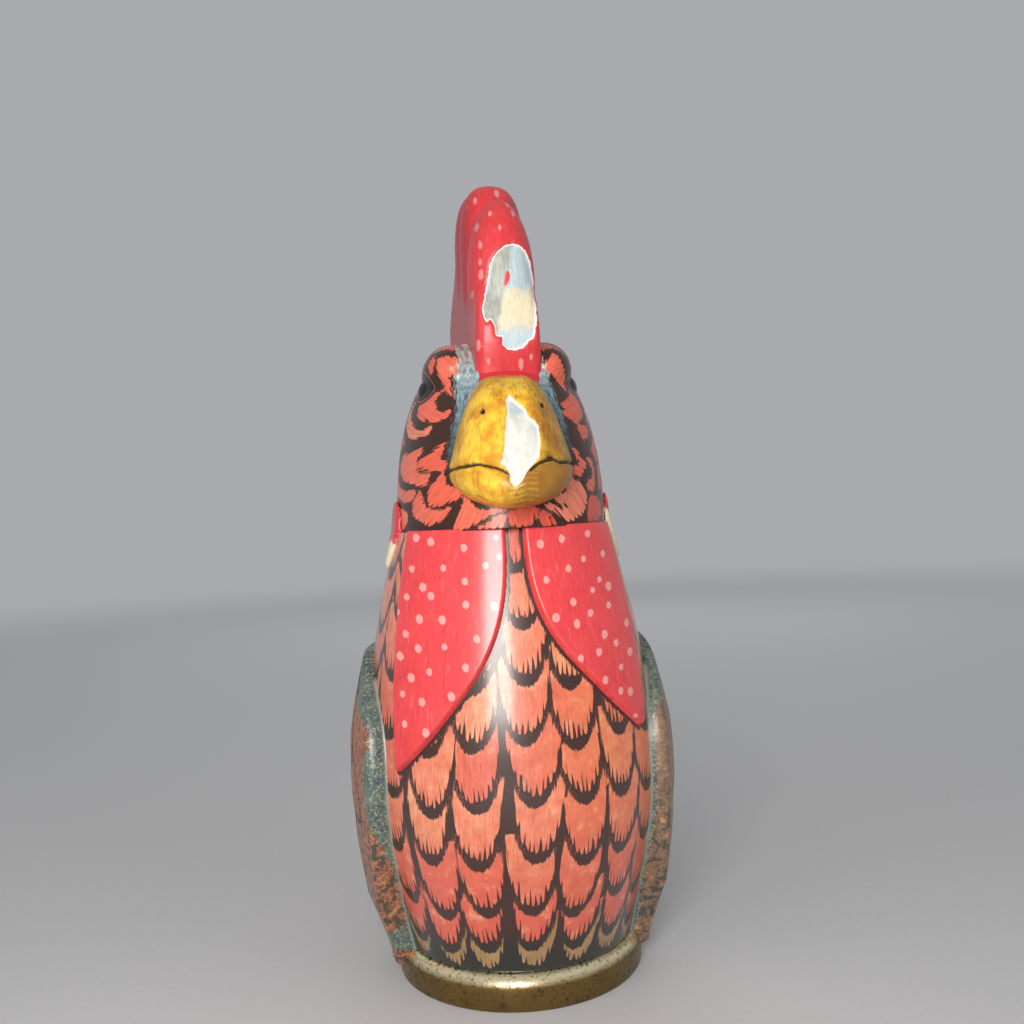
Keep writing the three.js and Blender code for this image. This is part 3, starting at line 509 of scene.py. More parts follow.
WATTLE_DOTS_LEFT = (
    (6.8, 127.9), (13.1, 129.0), (21.3, 129.9), (25.9, 124.0), (19.2, 123.1), (14.3, 120.8), (7.7, 118.2),
    (23.7, 117.1), (21.2, 114.4), (26.6, 114.9), (15.0, 111.8), (26.0, 109.8), (19.9, 108.4),
    (9.6, 108.0), (15.5, 105.9), (23.7, 102.1), (27.3, 99.3), (15.9, 96.8), (21.5, 97.7), (28.3, 92.6),
    (22.8, 90.0), (27.5, 86.3), (30.8, 85.4), (32.1, 78.3), (31.8, 104.0), (32.0, 96.0),
)
PLATE_WALL = 0.8
# A distance in mm that is out of a pattern's reach.
FAR = 9.0


def inside(u, v, outline):
    """Mm inside a closed outline, less than zero outside it."""
    nearest = np.full(len(u), 1e9)
    odd = np.zeros(len(u), bool)
    for (au, av), (bu, bv) in zip(outline, np.roll(outline, -1, 0)):
        du, dv = bu - au, bv - av
        t = np.clip(((u - au) * du + (v - av) * dv) / max(du * du + dv * dv, 1e-12), 0, 1)
        nearest = np.minimum(nearest, np.hypot(u - au - t * du, v - av - t * dv))
        if dv:
            odd ^= ((av > v) != (bv > v)) & (u < au + du * (v - av) / dv)
    return np.where(odd, nearest, -nearest)


def bezier(*corners):
    """Points along one curve from its first to just before its last corner."""
    t = np.linspace(0, 1, 14)[:-1, None]
    n = len(corners) - 1
    return sum(math.comb(n, k) * t ** k * (1 - t) ** (n - k) * np.array(c, float)
               for k, c in enumerate(corners))


def normals(piece):
    out = np.empty(3 * len(piece.data.vertices), dtype=np.float32)
    piece.data.vertices.foreach_get("normal", out)
    return out.reshape(-1, 3).astype(float)


def raised_plate(name, span, step, skin, rise, bury):
    """A thin carved plate: a grid over span, laid on the skin and lifted off it by rise. Where rise says
    that there is no plate the grid is cut away, and its rim dips under the skin by bury."""
    u0, u1, v0, v1 = span
    made = start(name, bpy.ops.mesh.primitive_grid_add, size=2.0,
                 x_subdivisions=round((u1 - u0) / step), y_subdivisions=round((v1 - v0) / step))
    flat = points(made) * MM
    u, v = u0 + (u1 - u0) * (flat[:, 0] + 1) / 2, v0 + (v1 - v0) * (flat[:, 1] + 1) / 2
    base = skin(u, v)
    normal = unit(np.cross(skin(u + 0.05, v) - base, skin(u, v + 0.05) - base))
    normal *= np.sign((normal * (base * (1, 1, 0))).sum(1, keepdims=True))
    lift, kept = rise(u, v)
    move_points(made, base + normal * (lift - bury)[:, None])
    edit(made)
    bpy.ops.mesh.select_mode(type="VERT")
    bpy.ops.mesh.select_all(action="DESELECT")
    bpy.ops.object.mode_set(mode="OBJECT")
    made.data.vertices.foreach_set("select", ~kept)
    bpy.ops.object.mode_set(mode="EDIT")
    bpy.ops.mesh.delete(type="VERT")
    bpy.ops.mesh.select_all(action="SELECT")
    bpy.ops.mesh.normals_make_consistent(inside=False)
    close_up(made)
    if (normals(made) * points(made) * (1, 1, 0)).sum() < 0:
        edit(made)
        bpy.ops.mesh.flip_normals()
        close_up(made)
    wall = made.modifiers.new("wall", "SOLIDIFY")
    wall.thickness, wall.offset = PLATE_WALL * MM, -1.0
    bpy.ops.object.modifier_apply(modifier=wall.name)
    return made


def eased(depth, rounding):
    """Share of the full thickness at a depth inside the outline, with a quarter-round edge."""
    return np.sqrt(np.maximum(1 - (1 - np.clip(depth / rounding, 0, 1)) ** 2, 0))


def on_breast(x, z):
    """Points on the front of the body, by how far aside and how high they are."""
    half, front, _ = np.moveaxis(girth(z), -1, 0)
    return np.stack([x, -front * np.sqrt(np.maximum(1 - (x / half) ** 2, 0.01)), z], -1)


def dabs(piece, spots, reach):
    """Mm inside dabbed dots, each a little taller than wide."""
    co = points(piece)
    best = np.full(len(co), -FAR)
    for (x, z), size in zip(spots, reach):
        best = np.maximum(best, size - np.hypot((co[:, 0] - x) * 1.25, co[:, 2] - z))
    write(piece, "dot_edge", best)


def frayed(tree, place, attribute, grain, reach, detail=3.0):
    """The mm inside an edge that the points of a piece carry, frayed by up to a reach in mm."""
    edge = wire(tree, "Attribute", out="Fac", attribute_name=attribute)
    return wire(tree, "Math", {0: edge, 1: wander(tree, place, grain, reach, detail)}, operation="ADD")


def red_paint(name):
    """Signal red paint with pale dabbed dots under gloss varnish, a little worn and brushed downwards."""
    made, tree, shader, place = paint(name, Roughness=0.38, Specular_IOR_Level=0.45,
                                      Coat_Weight=0.95, Coat_Roughness=0.2)
    cloud = wire(tree, "TexNoise", {"Vector": place, "Scale": 1 / (11 * MM), "Detail": 3.0})
    colour = wire(tree, "Mix", {0: cloud, 6: "#DA2E34", 7: "#EC484B"})
    long = wire(tree, "Mapping", {"Vector": place, "Scale": (1.0, 1.0, 0.07)})
    brush = wire(tree, "TexNoise", {"Vector": long, "Scale": 1 / (0.8 * MM), "Detail": 3.0,
                                    "Roughness": 0.65})
    colour = lay(tree, colour, "#7E1A22", brush, 0.44, 0.28, 0.35)
    colour = lay(tree, colour, "#EF8384", brush, 0.56, 0.74, 0.4)
    edge = frayed(tree, place, "dot_edge", 0.9, 0.16, 2.0)
    thin = wire(tree, "MapRange", {0: edge, 1: 0.9, 2: 1.35, 3: 0.86, 4: 0.62})
    dab = wire(tree, "MapRange", {0: edge, 1: -0.12, 2: 0.22})
    dab = wire(tree, "Math", {0: dab, 1: thin}, operation="MULTIPLY")
    colour = wire(tree, "Mix", {0: dab, 6: colour, 7: "#F2A8A4"})
    wave = wire(tree, "TexNoise", {"Vector": long, "Scale": 1 / (2.2 * MM), "Detail": 2.0})
    relief = wire(tree, "Math", {0: wave, 1: dab}, operation="ADD")
    relief = wire(tree, "Bump", {"Height": relief, "Strength": 0.16, "Distance": 0.25 * MM})
    tree.links.new(relief, shader.inputs["Normal"])
    return made, tree, shader, colour, place


# The wattles' paint: bright red and glossy, with pale dots that are thinner in the middle.
wattle_red, tree, shader, colour, _ = red_paint("red_paint_on_wattles")
tree.links.new(colour, shader.inputs["Base Color"])
for node_name, sign, spots in (("wattle_right", -1, WATTLE_DOTS_RIGHT), ("wattle_left", 1, WATTLE_DOTS_LEFT)):
    low, high = box_mm(node_name)
    top, drop, inner = high[2], high[2] - low[2], min(abs(low[0]), abs(high[0]))
    bend, corner = (0.45 * WATTLE_TIP, -0.66 * drop), (WATTLE_SHOULDER, WATTLE_OVER)
    lapel = np.vstack([
        bezier((inner, WATTLE_OVER), (inner, -0.2 * drop), (inner, -0.42 * drop), bend),
        bezier(bend, (0.78 * WATTLE_TIP, -0.88 * drop), (WATTLE_TIP, -drop)),
        bezier((WATTLE_TIP, -drop), (WATTLE_TIP + 1, -0.5 * drop), corner), (corner,),
    ]) * (sign, 1) + (0, top)

    def lapel_rise(x, z):
        depth = inside(x, z, lapel)
        return (WATTLE_THICKNESS + WATTLE_SINK) * eased(depth, WATTLE_ROUNDING), depth > -0.6

    wattle = raised_plate("glued_" + node_name, (low[0] - 1, high[0] + 1, low[2] - 1, top - 0.05),
                          WATTLE_GRID, on_breast, lapel_rise, WATTLE_SINK)
    rng = np.random.default_rng(5)
    dabs(wattle, spots, rng.uniform(*WATTLE_DOT_SIZES, len(spots)))
    # The body's feathers stop short of the wattle, so that a dark line runs round it: partly a dark outline,
    # partly the wattle's painted shadow on the breast.
    co = points(body)
    outline_and_shadow = np.where(co[:, 1] < 0, -inside(co[:, 0], co[:, 2], lapel) - WATTLE_OUTLINE_AND_SHADOW, FAR)
    body_edge = np.minimum(body_edge, outline_and_shadow)
    body.data.attributes["feather_edge"].data.foreach_set("value", body_edge.astype(np.float32))
    hand_over(wattle, wattle_red, "red_paint", node_name)


# Earlobes: two thin drops of wood, glued flat on the bird's sides over the joint of the neck, with
# rounded edges and thinner towards the top. They are painted red above and cream below.
EARLOBE_THICKNESS, EARLOBE_ROUNDING, EARLOBE_SINK, EARLOBE_TAPER, EARLOBE_GRID = 1.2, 1.6, 0.4, 12.0, 0.4
HEAD_HEIGHT, HEAD_ROUNDNESS = 58.0, 2.35
neck = body_high[2]


def on_side(y, z):
    """Points on the bird's left side, over the neck too, by how far back and how high they are."""
    half, front, back = np.moveaxis(girth(np.minimum(z, neck)), -1, 0)
    share = np.clip((z - neck) / HEAD_HEIGHT, 0, 0.95)
    out = half * np.sqrt(1 - (y / np.where(y < 0, front, back)) ** 2)
    return np.stack([out * (1 - share ** HEAD_ROUNDNESS) ** (1 / HEAD_ROUNDNESS), y, z], -1)


# Cream paint with an uneven edge to the red above it, which lies higher on the bird's left.
lobe_paint, tree, shader, place = paint("cream_and_red_paint", Roughness=0.4, Coat_Weight=0.6,
                                        Coat_Roughness=0.15)
aside, _, height = wire(tree, "SeparateXYZ", {0: place}).node.outputs
height = wire(tree, "Math", {0: height, 1: wander(tree, place, 1.6, 1.2 * MM)}, operation="ADD")
bare = wire(tree, "MapRange", {0: aside, 1: 0.0, 2: MM, 3: 0.0, 4: 6 * MM})
height = wire(tree, "Math", {0: height, 1: bare}, operation="SUBTRACT")
colour = lay(tree, "#E6DDBE", "#C9323A", height, 129.5 * MM, 130.6 * MM)
tree.links.new(colour, shader.inputs["Base Color"])
for node_name, sign in (("earlobe_left", 1), ("earlobe_right", -1)):
    low, high = box_mm(node_name)
    middle, width, length = (low[1] + high[1]) / 2, high[1] - low[1], high[2] - low[2]
    drop_shape = np.vstack([
        bezier((0, 0), (-0.72 * width, 0), (-0.62 * width, -0.6 * length), (0, -length)),
        bezier((0, -length), (0.62 * width, -0.6 * length), (0.72 * width, 0), (0, 0)),
    ]) + (middle, high[2])

    def lobe_rise(y, z):
        depth = inside(y, z, drop_shape)
        thin = np.clip((high[2] - z) / EARLOBE_TAPER, 0.05, 1)
        return (EARLOBE_THICKNESS * thin + EARLOBE_SINK) * eased(depth, EARLOBE_ROUNDING), depth > -0.5

    lobe = raised_plate("glued_" + node_name, (low[1] - 1, high[1] + 1, low[2] - 1, high[2] + 1),
                        EARLOBE_GRID, lambda y, z: on_side(y, z) * (sign, 1, 1), lobe_rise, EARLOBE_SINK)
    hand_over(lobe, lobe_paint, "earlobe_paint", node_name)


# Wings: plates of wood pinned and glued on the sides, with carved lines between feathers that fan out
# from the shoulder. They are sponged with verdigris along the front and with spotted copper behind it.
WING_EDGE = ((-10, 4), (-14.5, 20), (-21.5, 40), (-25, 62), (-22, 78), (-12, 90), (-1, 96), (12, 98),
             (30, 92), (46, 74), (56, 50), (46, 38), (28, 24), (8, 12))
WING_SHOULDER = np.array((0.0, 88.0))
WING_ROWS, WING_FAN = ((24.0, 6), (40.0, 8), (56.0, 9), (90.0, 10)), (-112, -18)
FAN_MARGIN, FAN_SHORTEST, FAN_NARROWEST, FAN_OVERLAP = 1.2, 12.0, 6.0, 1.12
WING_ROUNDING, WING_SINK, WING_GRID, WING_GRID_FINER = 1.9, 0.5, 0.5, 2.5
WING_LINE, WING_LINE_WIDTH, WING_PLAIN_FRONT, NO_LINE = 0.7, 0.45, 6.0, 2.0
WING_FEATHER_EDGE, WING_FEATHER_FORM = 0.5, (0.5, 2)
WING_THICKNESS = ((4.0, 5.0), (27.6, 7.4), (50.5, 5.3), (73.4, 5.2), (102.0, 2.4))
WING_THINNER, WING_THIN_FROM, WING_THIN_OVER = 1.4, 18.0, 12.0
VERDIGRIS_BAND = ((0, 0.0), (9, 0.0), (12, 9.0), (15, 9.0), (18, 0.8), (34, 1.0), (42, 3.2), (50, 6.0),
                  (58, 8.4), (66, 8.4), (72, 5.2), (78, 5.0), (84, 14), (90, 40), (100, 40))
BAND_ON_LEFT = ((0, 1.6), (30, 1.2), (60, 2.2), (76, 2.0), (84, 7), (90, 40), (100, 40))
CURVE_STEPS = 8


def rounded(corners, steps=CURVE_STEPS):
    """A closed outline through these corners, drawn as one smooth curve."""
    p = np.asarray(corners, float)
    a, b, c, d = (np.roll(p, k, 0)[:, None] for k in (1, 0, -1, -2))
    return through(a, b, c, d, (np.arange(steps) / steps)[None, :, None]).reshape(-1, 2)


wing_outline = rounded(WING_EDGE)
# The front edge runs from the first corner almost to the sixth.
wing_front_line = wing_outline[:5 * CURVE_STEPS]


def on_flank(y, z):
    """Points on the body's left side, by how far back and how high they are."""
    half, front, back = np.moveaxis(girth(z), -1, 0)
    reach = np.where(y < 0, front, back)
    return np.stack([half * np.sqrt(np.maximum(1 - (y / reach) ** 2, 0.02)), y, z], -1)


def front_at(z):
    """Where the wing's front edge lies at heights in mm."""
    return np.interp(z, wing_front_line[:, 1], wing_front_line[:, 0])


def behind_front(u, z):
    """How far back a point of the wing's grid is: the grid follows the front edge, and is finer there."""
    return u * np.abs(u) / (np.abs(u) + WING_GRID_FINER) + front_at(z)


def wing_rise(y, z):
    """How far the wing stands off the body, and where there is a wing."""
    depth = inside(y, z, wing_outline)
    thinner = WING_THINNER * np.clip((y - front_at(z) - WING_THIN_FROM) / WING_THIN_OVER, 0, 1)
    thick = np.interp(z, *zip(*WING_THICKNESS)) - thinner
    return (thick + WING_SINK) * eased(depth, WING_ROUNDING), depth > -0.7


# Sponged metal colours on a dark ground: a blue-green patina flecked with gold along the front, and behind
# it copper with dark spots and gold hearts, duller on the bird's left. The carved lines are dark, and the
# front edge is pale, partly worn and partly a painted highlight along it.
wing_paint, tree, shader, place = paint("verdigris_and_copper_paint", Metallic=0.2, Roughness=0.48,
                                        Coat_Weight=0.4, Coat_Roughness=0.22)
aside, _, height = wire(tree, "SeparateXYZ", {0: place}).node.outputs
cloud = wire(tree, "TexNoise", {"Vector": place, "Scale": 1 / (6 * MM), "Detail": 3.0, "Roughness": 0.6})
sponge = wire(tree, "TexNoise", {"Vector": place, "Scale": 1 / (0.75 * MM), "Detail": 3.0, "Roughness": 0.7})
blot = wire(tree, "TexNoise", {"Vector": place, "Scale": 1 / (2.3 * MM), "Detail": 2.5, "Roughness": 0.55})
patina = lay(tree, "#3E5459", "#707E73", cloud, 0.35, 0.65)
patina = lay(tree, patina, "#B9B48E", sponge, 0.52, 0.64, 0.7)
copper = lay(tree, "#6E4634", "#BC7C5C", sponge, 0.36, 0.60)
copper = lay(tree, copper, "#77705E", aside, 20 * MM, 30 * MM, 0.55)
spot = wire(tree, "MapRange", {0: blot, 1: 0.50, 2: 0.58})
few = wire(tree, "MapRange", {0: height, 1: 44 * MM, 2: 62 * MM, 3: 0.85, 4: 0.3})
spot = wire(tree, "Math", {0: spot, 1: few}, operation="MULTIPLY")
copper = wire(tree, "Mix", {0: spot, 6: copper, 7: "#3A4640"})
copper = lay(tree, copper, "#CFA05E", blot, 0.36, 0.30, 0.8)
loose = wire(tree, "MapRange", {0: sponge, 1: 0.3, 2: 0.7, 3: -1.1, 4: 1.1})
band = wire(tree, "Attribute", out="Fac", attribute_name="verdigris_band")
band = wire(tree, "Math", {0: band, 1: loose}, operation="ADD")
colour = lay(tree, copper, patina, band, -0.4, 0.4)
edge = wire(tree, "Attribute", out="Fac", attribute_name="feather_edge")
colour = lay(tree, colour, "#2A302C", edge, 0.75, 0.2, 0.8)
colour = lay(tree, colour, "#2B332F", sponge, 0.41, 0.32, 0.65)
front = wire(tree, "Attribute", out="Fac", attribute_name="wing_front")
# The pale front edge: partly wear, partly a painted highlight along the edge.
worn_and_highlit = wire(tree, "Math", {0: loose, 1: 0.3, 2: front}, operation="MULTIPLY_ADD")
colour = lay(tree, colour, "#B9C2BB", worn_and_highlit, 1.1, 0.5, 0.5)
tree.links.new(colour, shader.inputs["Base Color"])
relief = wire(tree, "Bump", {"Height": sponge, "Strength": 0.3, "Distance": 0.22 * MM})
tree.links.new(relief, shader.inputs["Normal"])
for node_name, sign in (("wing_left", 1), ("wing_right", -1)):
    low, high = box_mm(node_name)
    wing = raised_plate("carved_" + node_name, (-1.5, high[1] - low[1] + 4, low[2] - 1, high[2] + 1),
                        WING_GRID, lambda u, z: on_flank(behind_front(u, z), z) * (sign, 1, 1),
                        lambda u, z: wing_rise(behind_front(u, z), z), WING_SINK)
    fan = []
    for radius, count in WING_ROWS:
        for k in range(count):
            angle = math.radians(np.interp(k + 0.5 * (count % 2), (0, count), WING_FAN))
            way = np.array((math.cos(angle), math.sin(angle)))
            reach = radius
            while reach > FAN_SHORTEST:
                if inside(*(WING_SHOULDER + reach * way)[:, None], wing_outline)[0] >= FAN_MARGIN:
                    break
                reach -= 1.0
            (y, z), (dy, dz) = WING_SHOULDER + reach * way, way
            tip, back = on_flank(np.array([y, y - dy]), np.array([z, z - dz])) * (sign, 1, 1)
            ahead = unit(tip - back)
            across = unit(np.cross(ahead, (sign, 0.0, 0.0)))
            width = reach * math.radians(WING_FAN[1] - WING_FAN[0]) / count * FAN_OVERLAP
            fan.append((tip, ahead, across, max(width, FAN_NARROWEST), reach))
    co, out = points(wing), normals(wing)
    edge, _ = lay_feathers(co, fan, 0.0, WING_FEATHER_EDGE, WING_FEATHER_FORM, WING_FEATHER_FORM, False)
    front = co[:, 1] - front_at(co[:, 2])
    edge = np.where((front > WING_PLAIN_FRONT) & (edge < NO_LINE) & (edge > -0.6), np.abs(edge), NO_LINE)
    cut = WING_LINE * np.exp(-(np.minimum(edge, 0.8) / WING_LINE_WIDTH) ** 2) * (edge < 1.5)
    move_points(wing, co - out * cut[:, None])
    write(wing, "feather_edge", edge)
    # The way from the body's skin over the front edge and back along the wing's face.
    flank = on_flank(co[:, 1], co[:, 2])
    over_skin = np.maximum(np.abs(co[:, 0]) - flank[:, 0], 0) + np.maximum(front, 0)
    write(wing, "wing_front", np.where(front < FAR, over_skin, FAR))
    band = np.interp(co[:, 2], *zip(*(BAND_ON_LEFT if sign > 0 else VERDIGRIS_BAND)))
    write(wing, "verdigris_band", band - over_skin)
    hand_over(wing, wing_paint, "wing_paint", node_name)


# Head: a half egg of wood dowelled on the neck, with a rounded brow ridge on each side of the comb. Its
# painted feathers run outwards from the beak, and a sponged blue-grey band borders beak and comb.
HEAD_HALF, HEAD_FRONT, HEAD_BACK = 31.8, 41.0, 25.5
BROW_OUT, BROW_FORWARD, BROW_OVER, BROW_RADIUS, BROW_LONG = 13.5, 9.0, 46.0, 9.0, 18.0
HEAD_GRAIN, HEAD_SANDING = 0.6, 22
SPHERE = bpy.ops.mesh.primitive_uv_sphere_add


def sand(piece, grain, rounds):
    """Voxel remesh at the grain of the carving, then rounds of smoothing."""
    pick(piece)
    voxels = piece.modifiers.new("carving", "REMESH")
    voxels.mode, voxels.voxel_size = "VOXEL", grain * MM
    bpy.ops.object.modifier_apply(modifier=voxels.name)
    paper = piece.modifiers.new("sanding", "SMOOTH")
    paper.factor, paper.iterations = 0.5, rounds
    bpy.ops.object.modifier_apply(modifier=paper.name)


def join(piece, other):
    """Makes another piece a part of this one."""
    pick(piece)
    other.select_set(True)
    bpy.ops.object.join()


head = start("carved_head", SPHERE, segments=128, ring_count=80, radius=1.0)
co = points(head) * MM
bulge = np.maximum(np.hypot(co[:, 0], co[:, 1]), 1e-6) ** (2 / HEAD_ROUNDNESS - 1)
move_points(head, np.stack([
    HEAD_HALF * co[:, 0] * bulge, np.where(co[:, 1] < 0, HEAD_FRONT, HEAD_BACK) * co[:, 1] * bulge,
    neck + HEAD_HEIGHT * np.sign(co[:, 2]) * np.abs(co[:, 2]) ** (2 / HEAD_ROUNDNESS),
], 1))
for sign in (1, -1):
    brow = start("brow", SPHERE, segments=48, ring_count=32, radius=1.0)
    move_points(brow, points(brow) * MM * (BROW_RADIUS, BROW_LONG, BROW_RADIUS)
                + (sign * BROW_OUT, -BROW_FORWARD, neck + BROW_OVER))
    join(head, brow)
sand(head, HEAD_GRAIN, HEAD_SANDING)
saw(head, (0, 0, neck), (0, 0, 1), clear_inner=True)

# The feathers round the face, each an outline: mm round the head from the beak to the bird's left, and
# the height. They are crescents and hooks with a dark notch towards the beak.
FACE_FEATHERS = (
    ((-21.3, 181.8), (-19.1, 182.3), (-16.1, 182.1), (-13.7, 181.4), (-12.3, 179.6), (-11.4, 177.3),
     (-11.3, 175.6), (-12.8, 175.4), (-14.8, 176.1), (-16.1, 176.6), (-16.7, 176.0), (-17.1, 174.7),
     (-17.0, 173.2), (-16.0, 171.8), (-14.6, 170.3), (-16.6, 171.3), (-18.4, 172.8), (-20.4, 174.9),
     (-20.8, 176.7), (-21.3, 178.5), (-21.4, 180.4)),
    ((-27.5, 181.8), (-24.7, 182.7), (-23.1, 183.0), (-22.5, 181.5), (-22.8, 180.5), (-23.1, 179.3),
     (-23.5, 178.1), (-24.9, 178.0), (-26.1, 179.5), (-26.9, 180.8)),
    ((-32.2, 169.1), (-30.6, 170.6), (-27.4, 171.6), (-23.5, 172.1), (-19.4, 172.7), (-20.7, 171.7),
     (-21.6, 170.4), (-21.9, 169.1), (-21.0, 167.7), (-20.6, 166.9), (-18.7, 166.0), (-16.9, 166.0),
     (-15.4, 166.4), (-15.7, 164.9), (-17.1, 164.2), (-19.4, 163.9), (-21.9, 163.8), (-25.0, 164.1),
     (-28.0, 164.4), (-31.4, 166.2), (-32.3, 167.8)),
    ((-37.0, 171.0), (-39.0, 169.0), (-38.0, 166.8), (-34.7, 164.7), (-31.3, 162.7), (-27.1, 161.6),
     (-24.3, 161.7), (-21.9, 162.2), (-22.3, 160.6), (-24.5, 160.1), (-28.0, 159.8), (-32.9, 159.9),
     (-37.4, 161.3), (-41.5, 164.0), (-43.5, 166.5), (-42.5, 169.0), (-40.0, 170.8)),
    ((-38.0, 155.3), (-33.0, 155.7), (-28.4, 155.7), (-24.4, 156.0), (-26.2, 154.8), (-27.7, 153.6),
     (-27.2, 152.1), (-27.8, 150.7), (-27.0, 149.6), (-23.6, 148.7), (-21.2, 148.9), (-21.7, 147.5),
     (-22.7, 145.9), (-26.1, 145.9), (-30.1, 146.5), (-35.4, 147.5), (-40.1, 149.5), (-41.6, 151.9),
     (-40.6, 154.0)),
    ((-26.6, 152.4), (-23.4, 153.9), (-20.7, 155.1), (-18.2, 156.0), (-16.4, 157.0), (-16.7, 155.9),
     (-17.2, 154.5), (-17.8, 153.5), (-17.3, 152.4), (-15.8, 151.9), (-15.9, 150.2), (-17.6, 149.6),
     (-20.4, 149.6), (-23.2, 150.1), (-26.4, 150.4), (-27.1, 151.4)),
    ((-17.1, 149.3), (-16.5, 148.7), (-18.3, 147.2), (-20.7, 145.7), (-21.7, 144.0), (-21.9, 141.9),
     (-21.5, 139.7), (-19.3, 139.3), (-17.4, 139.5), (-15.1, 140.1), (-12.9, 141.4), (-12.0, 142.7),
     (-11.9, 143.4), (-13.6, 144.4), (-15.1, 144.7), (-16.1, 145.6), (-16.0, 147.3)),
    ((-25.4, 144.1), (-27.8, 142.8), (-29.1, 141.1), (-29.5, 138.9), (-29.0, 137.1), (-26.4, 136.0),
     (-24.0, 134.9), (-21.6, 134.1), (-18.7, 135.0), (-16.7, 136.3), (-15.2, 138.0), (-14.6, 139.0),
     (-16.3, 138.4), (-18.6, 138.1), (-20.8, 138.7), (-22.7, 139.8), (-23.6, 141.2), (-24.3, 142.7)),
    ((-42.2, 154.7), (-45.0, 153.2), (-46.0, 150.7), (-44.8, 148.7), (-41.8, 146.5), (-36.3, 144.7),
     (-31.1, 144.1), (-27.5, 144.2), (-28.5, 142.8), (-30.1, 141.8), (-35.2, 141.6), (-42.1, 142.6),
     (-47.0, 143.7), (-50.5, 146.5), (-50.5, 150.5), (-48.0, 153.5)),
    ((-11.3, 142.0), (-10.8, 140.2), (-12.2, 138.4), (-13.2, 136.5), (-14.0, 134.5), (-14.3, 132.8),
     (-11.7, 132.7), (-9.2, 133.7), (-7.2, 134.9), (-5.2, 136.3), (-3.3, 137.4), (-1.4, 138.0),
     (-3.6, 138.0), (-5.4, 137.6), (-7.1, 137.8), (-8.5, 138.4), (-8.7, 139.2), (-9.9, 140.4)),
    ((16.1, 181.9), (18.0, 182.0), (19.1, 180.6), (19.9, 179.0), (21.3, 177.0), (22.5, 175.4),
     (22.7, 173.6), (21.9, 171.6), (20.0, 173.1), (18.3, 174.7), (16.7, 175.7), (15.2, 176.4),
     (14.2, 177.4), (14.4, 179.2)),
    ((24.2, 172.3), (26.5, 171.6), (28.5, 169.9), (29.5, 167.4), (29.3, 165.4), (27.4, 163.9),
     (22.7, 161.9), (20.6, 162.0), (18.7, 163.0), (17.1, 163.8), (17.0, 164.9), (18.8, 165.1),
     (17.7, 165.8), (16.7, 166.6), (16.8, 167.3), (19.1, 168.0), (22.6, 170.0)),
    ((27.0, 161.6), (29.3, 160.2), (28.6, 158.6), (25.7, 157.0), (23.4, 157.1), (22.7, 158.6),
     (23.6, 159.3), (22.1, 159.8), (21.9, 160.8), (23.6, 161.3)),
    ((17.0, 154.2), (18.3, 154.0), (19.7, 152.6), (21.4, 150.9), (23.1, 149.1), (21.1, 148.0),
     (19.5, 146.5), (18.4, 145.6), (16.7, 146.2), (16.5, 147.6), (17.1, 149.0), (18.6, 149.8),
     (18.2, 151.6), (17.7, 152.9)),
    ((23.5, 151.3), (26.6, 151.0), (27.7, 148.9), (27.4, 145.9), (26.8, 143.7), (24.9, 141.7),
     (22.5, 142.2), (21.6, 144.0), (24.1, 145.5), (25.7, 147.3), (25.0, 149.5)),
    ((14.4, 146.7), (15.4, 146.2), (16.1, 144.7), (18.5, 144.4), (20.1, 143.0), (21.0, 140.4),
     (20.4, 137.7), (18.0, 135.3), (15.1, 134.1), (12.9, 133.7), (10.9, 134.9), (9.1, 136.6),
     (7.4, 138.4), (8.9, 138.4), (11.0, 137.4), (12.8, 137.9), (11.4, 138.6), (9.8, 140.4), (12.8, 141.6),
     (13.3, 142.9), (14.1, 145.0)),
    ((-1.4, 136.8), (1.3, 137.7), (4.4, 138.1), (5.3, 136.7), (4.0, 133.6), (1.6, 132.9), (-0.6, 133.4)),
    ((-48.0, 140.5), (-44.0, 139.8), (-40.0, 139.2), (-36.0, 138.8), (-32.5, 137.2), (-35.0, 134.6),
     (-40.0, 133.2), (-45.0, 133.0), (-48.5, 135.0)),
    ((-8.6, 133.0), (-6.0, 134.5), (-3.8, 135.9), (-2.0, 136.2), (-1.8, 134.6), (-2.4, 133.0),
     (-5.5, 132.6)),
    ((6.0, 136.7), (7.6, 136.2), (9.0, 134.6), (9.7, 133.0), (7.2, 132.7), (5.2, 133.4)),
    ((-26.5, 183.8), (-22.0, 184.7), (-17.0, 184.4), (-13.2, 183.0), (-13.6, 184.8), (-17.5, 186.4),
     (-22.0, 186.8), (-25.8, 185.6)),
    ((13.8, 183.2), (17.0, 184.0), (20.5, 183.4), (23.6, 181.4), (23.0, 183.6), (20.0, 185.6),
     (16.5, 186.2), (14.0, 185.2)),
    ((22.2, 139.8), (25.0, 140.4), (28.5, 139.8), (31.2, 137.4), (30.2, 134.6), (26.5, 133.1),
     (22.5, 133.0), (20.8, 134.4)),
)
FACE_ROUND, FACE_GROWTH, FACE_FREE, FACE_BARE, FACE_FIRST = 32.0, 0.3, 4.5, 3.0, 200
FACE_TURN, CROWN_HALF, CROWN_FROM = 34.0, 10.5, 38.0
PLUME_WIDTH, PLUME_LENGTH, PLUME_APART, PLUMES_NEAR = 10.0, 7.0, 8.2, 60
PLUME_GAP, PLUME_OUTLINE, PLUME_FORM, PLUME_DROOP = 0.5, 1.2, (0.55, 2), (0.0, 0.35, -0.75)
HEM_COUNT, HEM_TURN, HEM_RISE, HEM_CLEAR, HEM_CLOSER = 25, 38.0, 1.6, 3.0, 1.9
beak_middle = np.array((0.0, -46.0, 158.0))
co, out = points(head), normals(head)
around, over = FACE_ROUND * np.arctan2(co[:, 0], -co[:, 1]), co[:, 2]
drawn = [inside(around, over, rounded(outline, 3)) for outline in FACE_FEATHERS]
on_face = np.max(drawn, axis=0)
free = on_face < -FACE_FREE


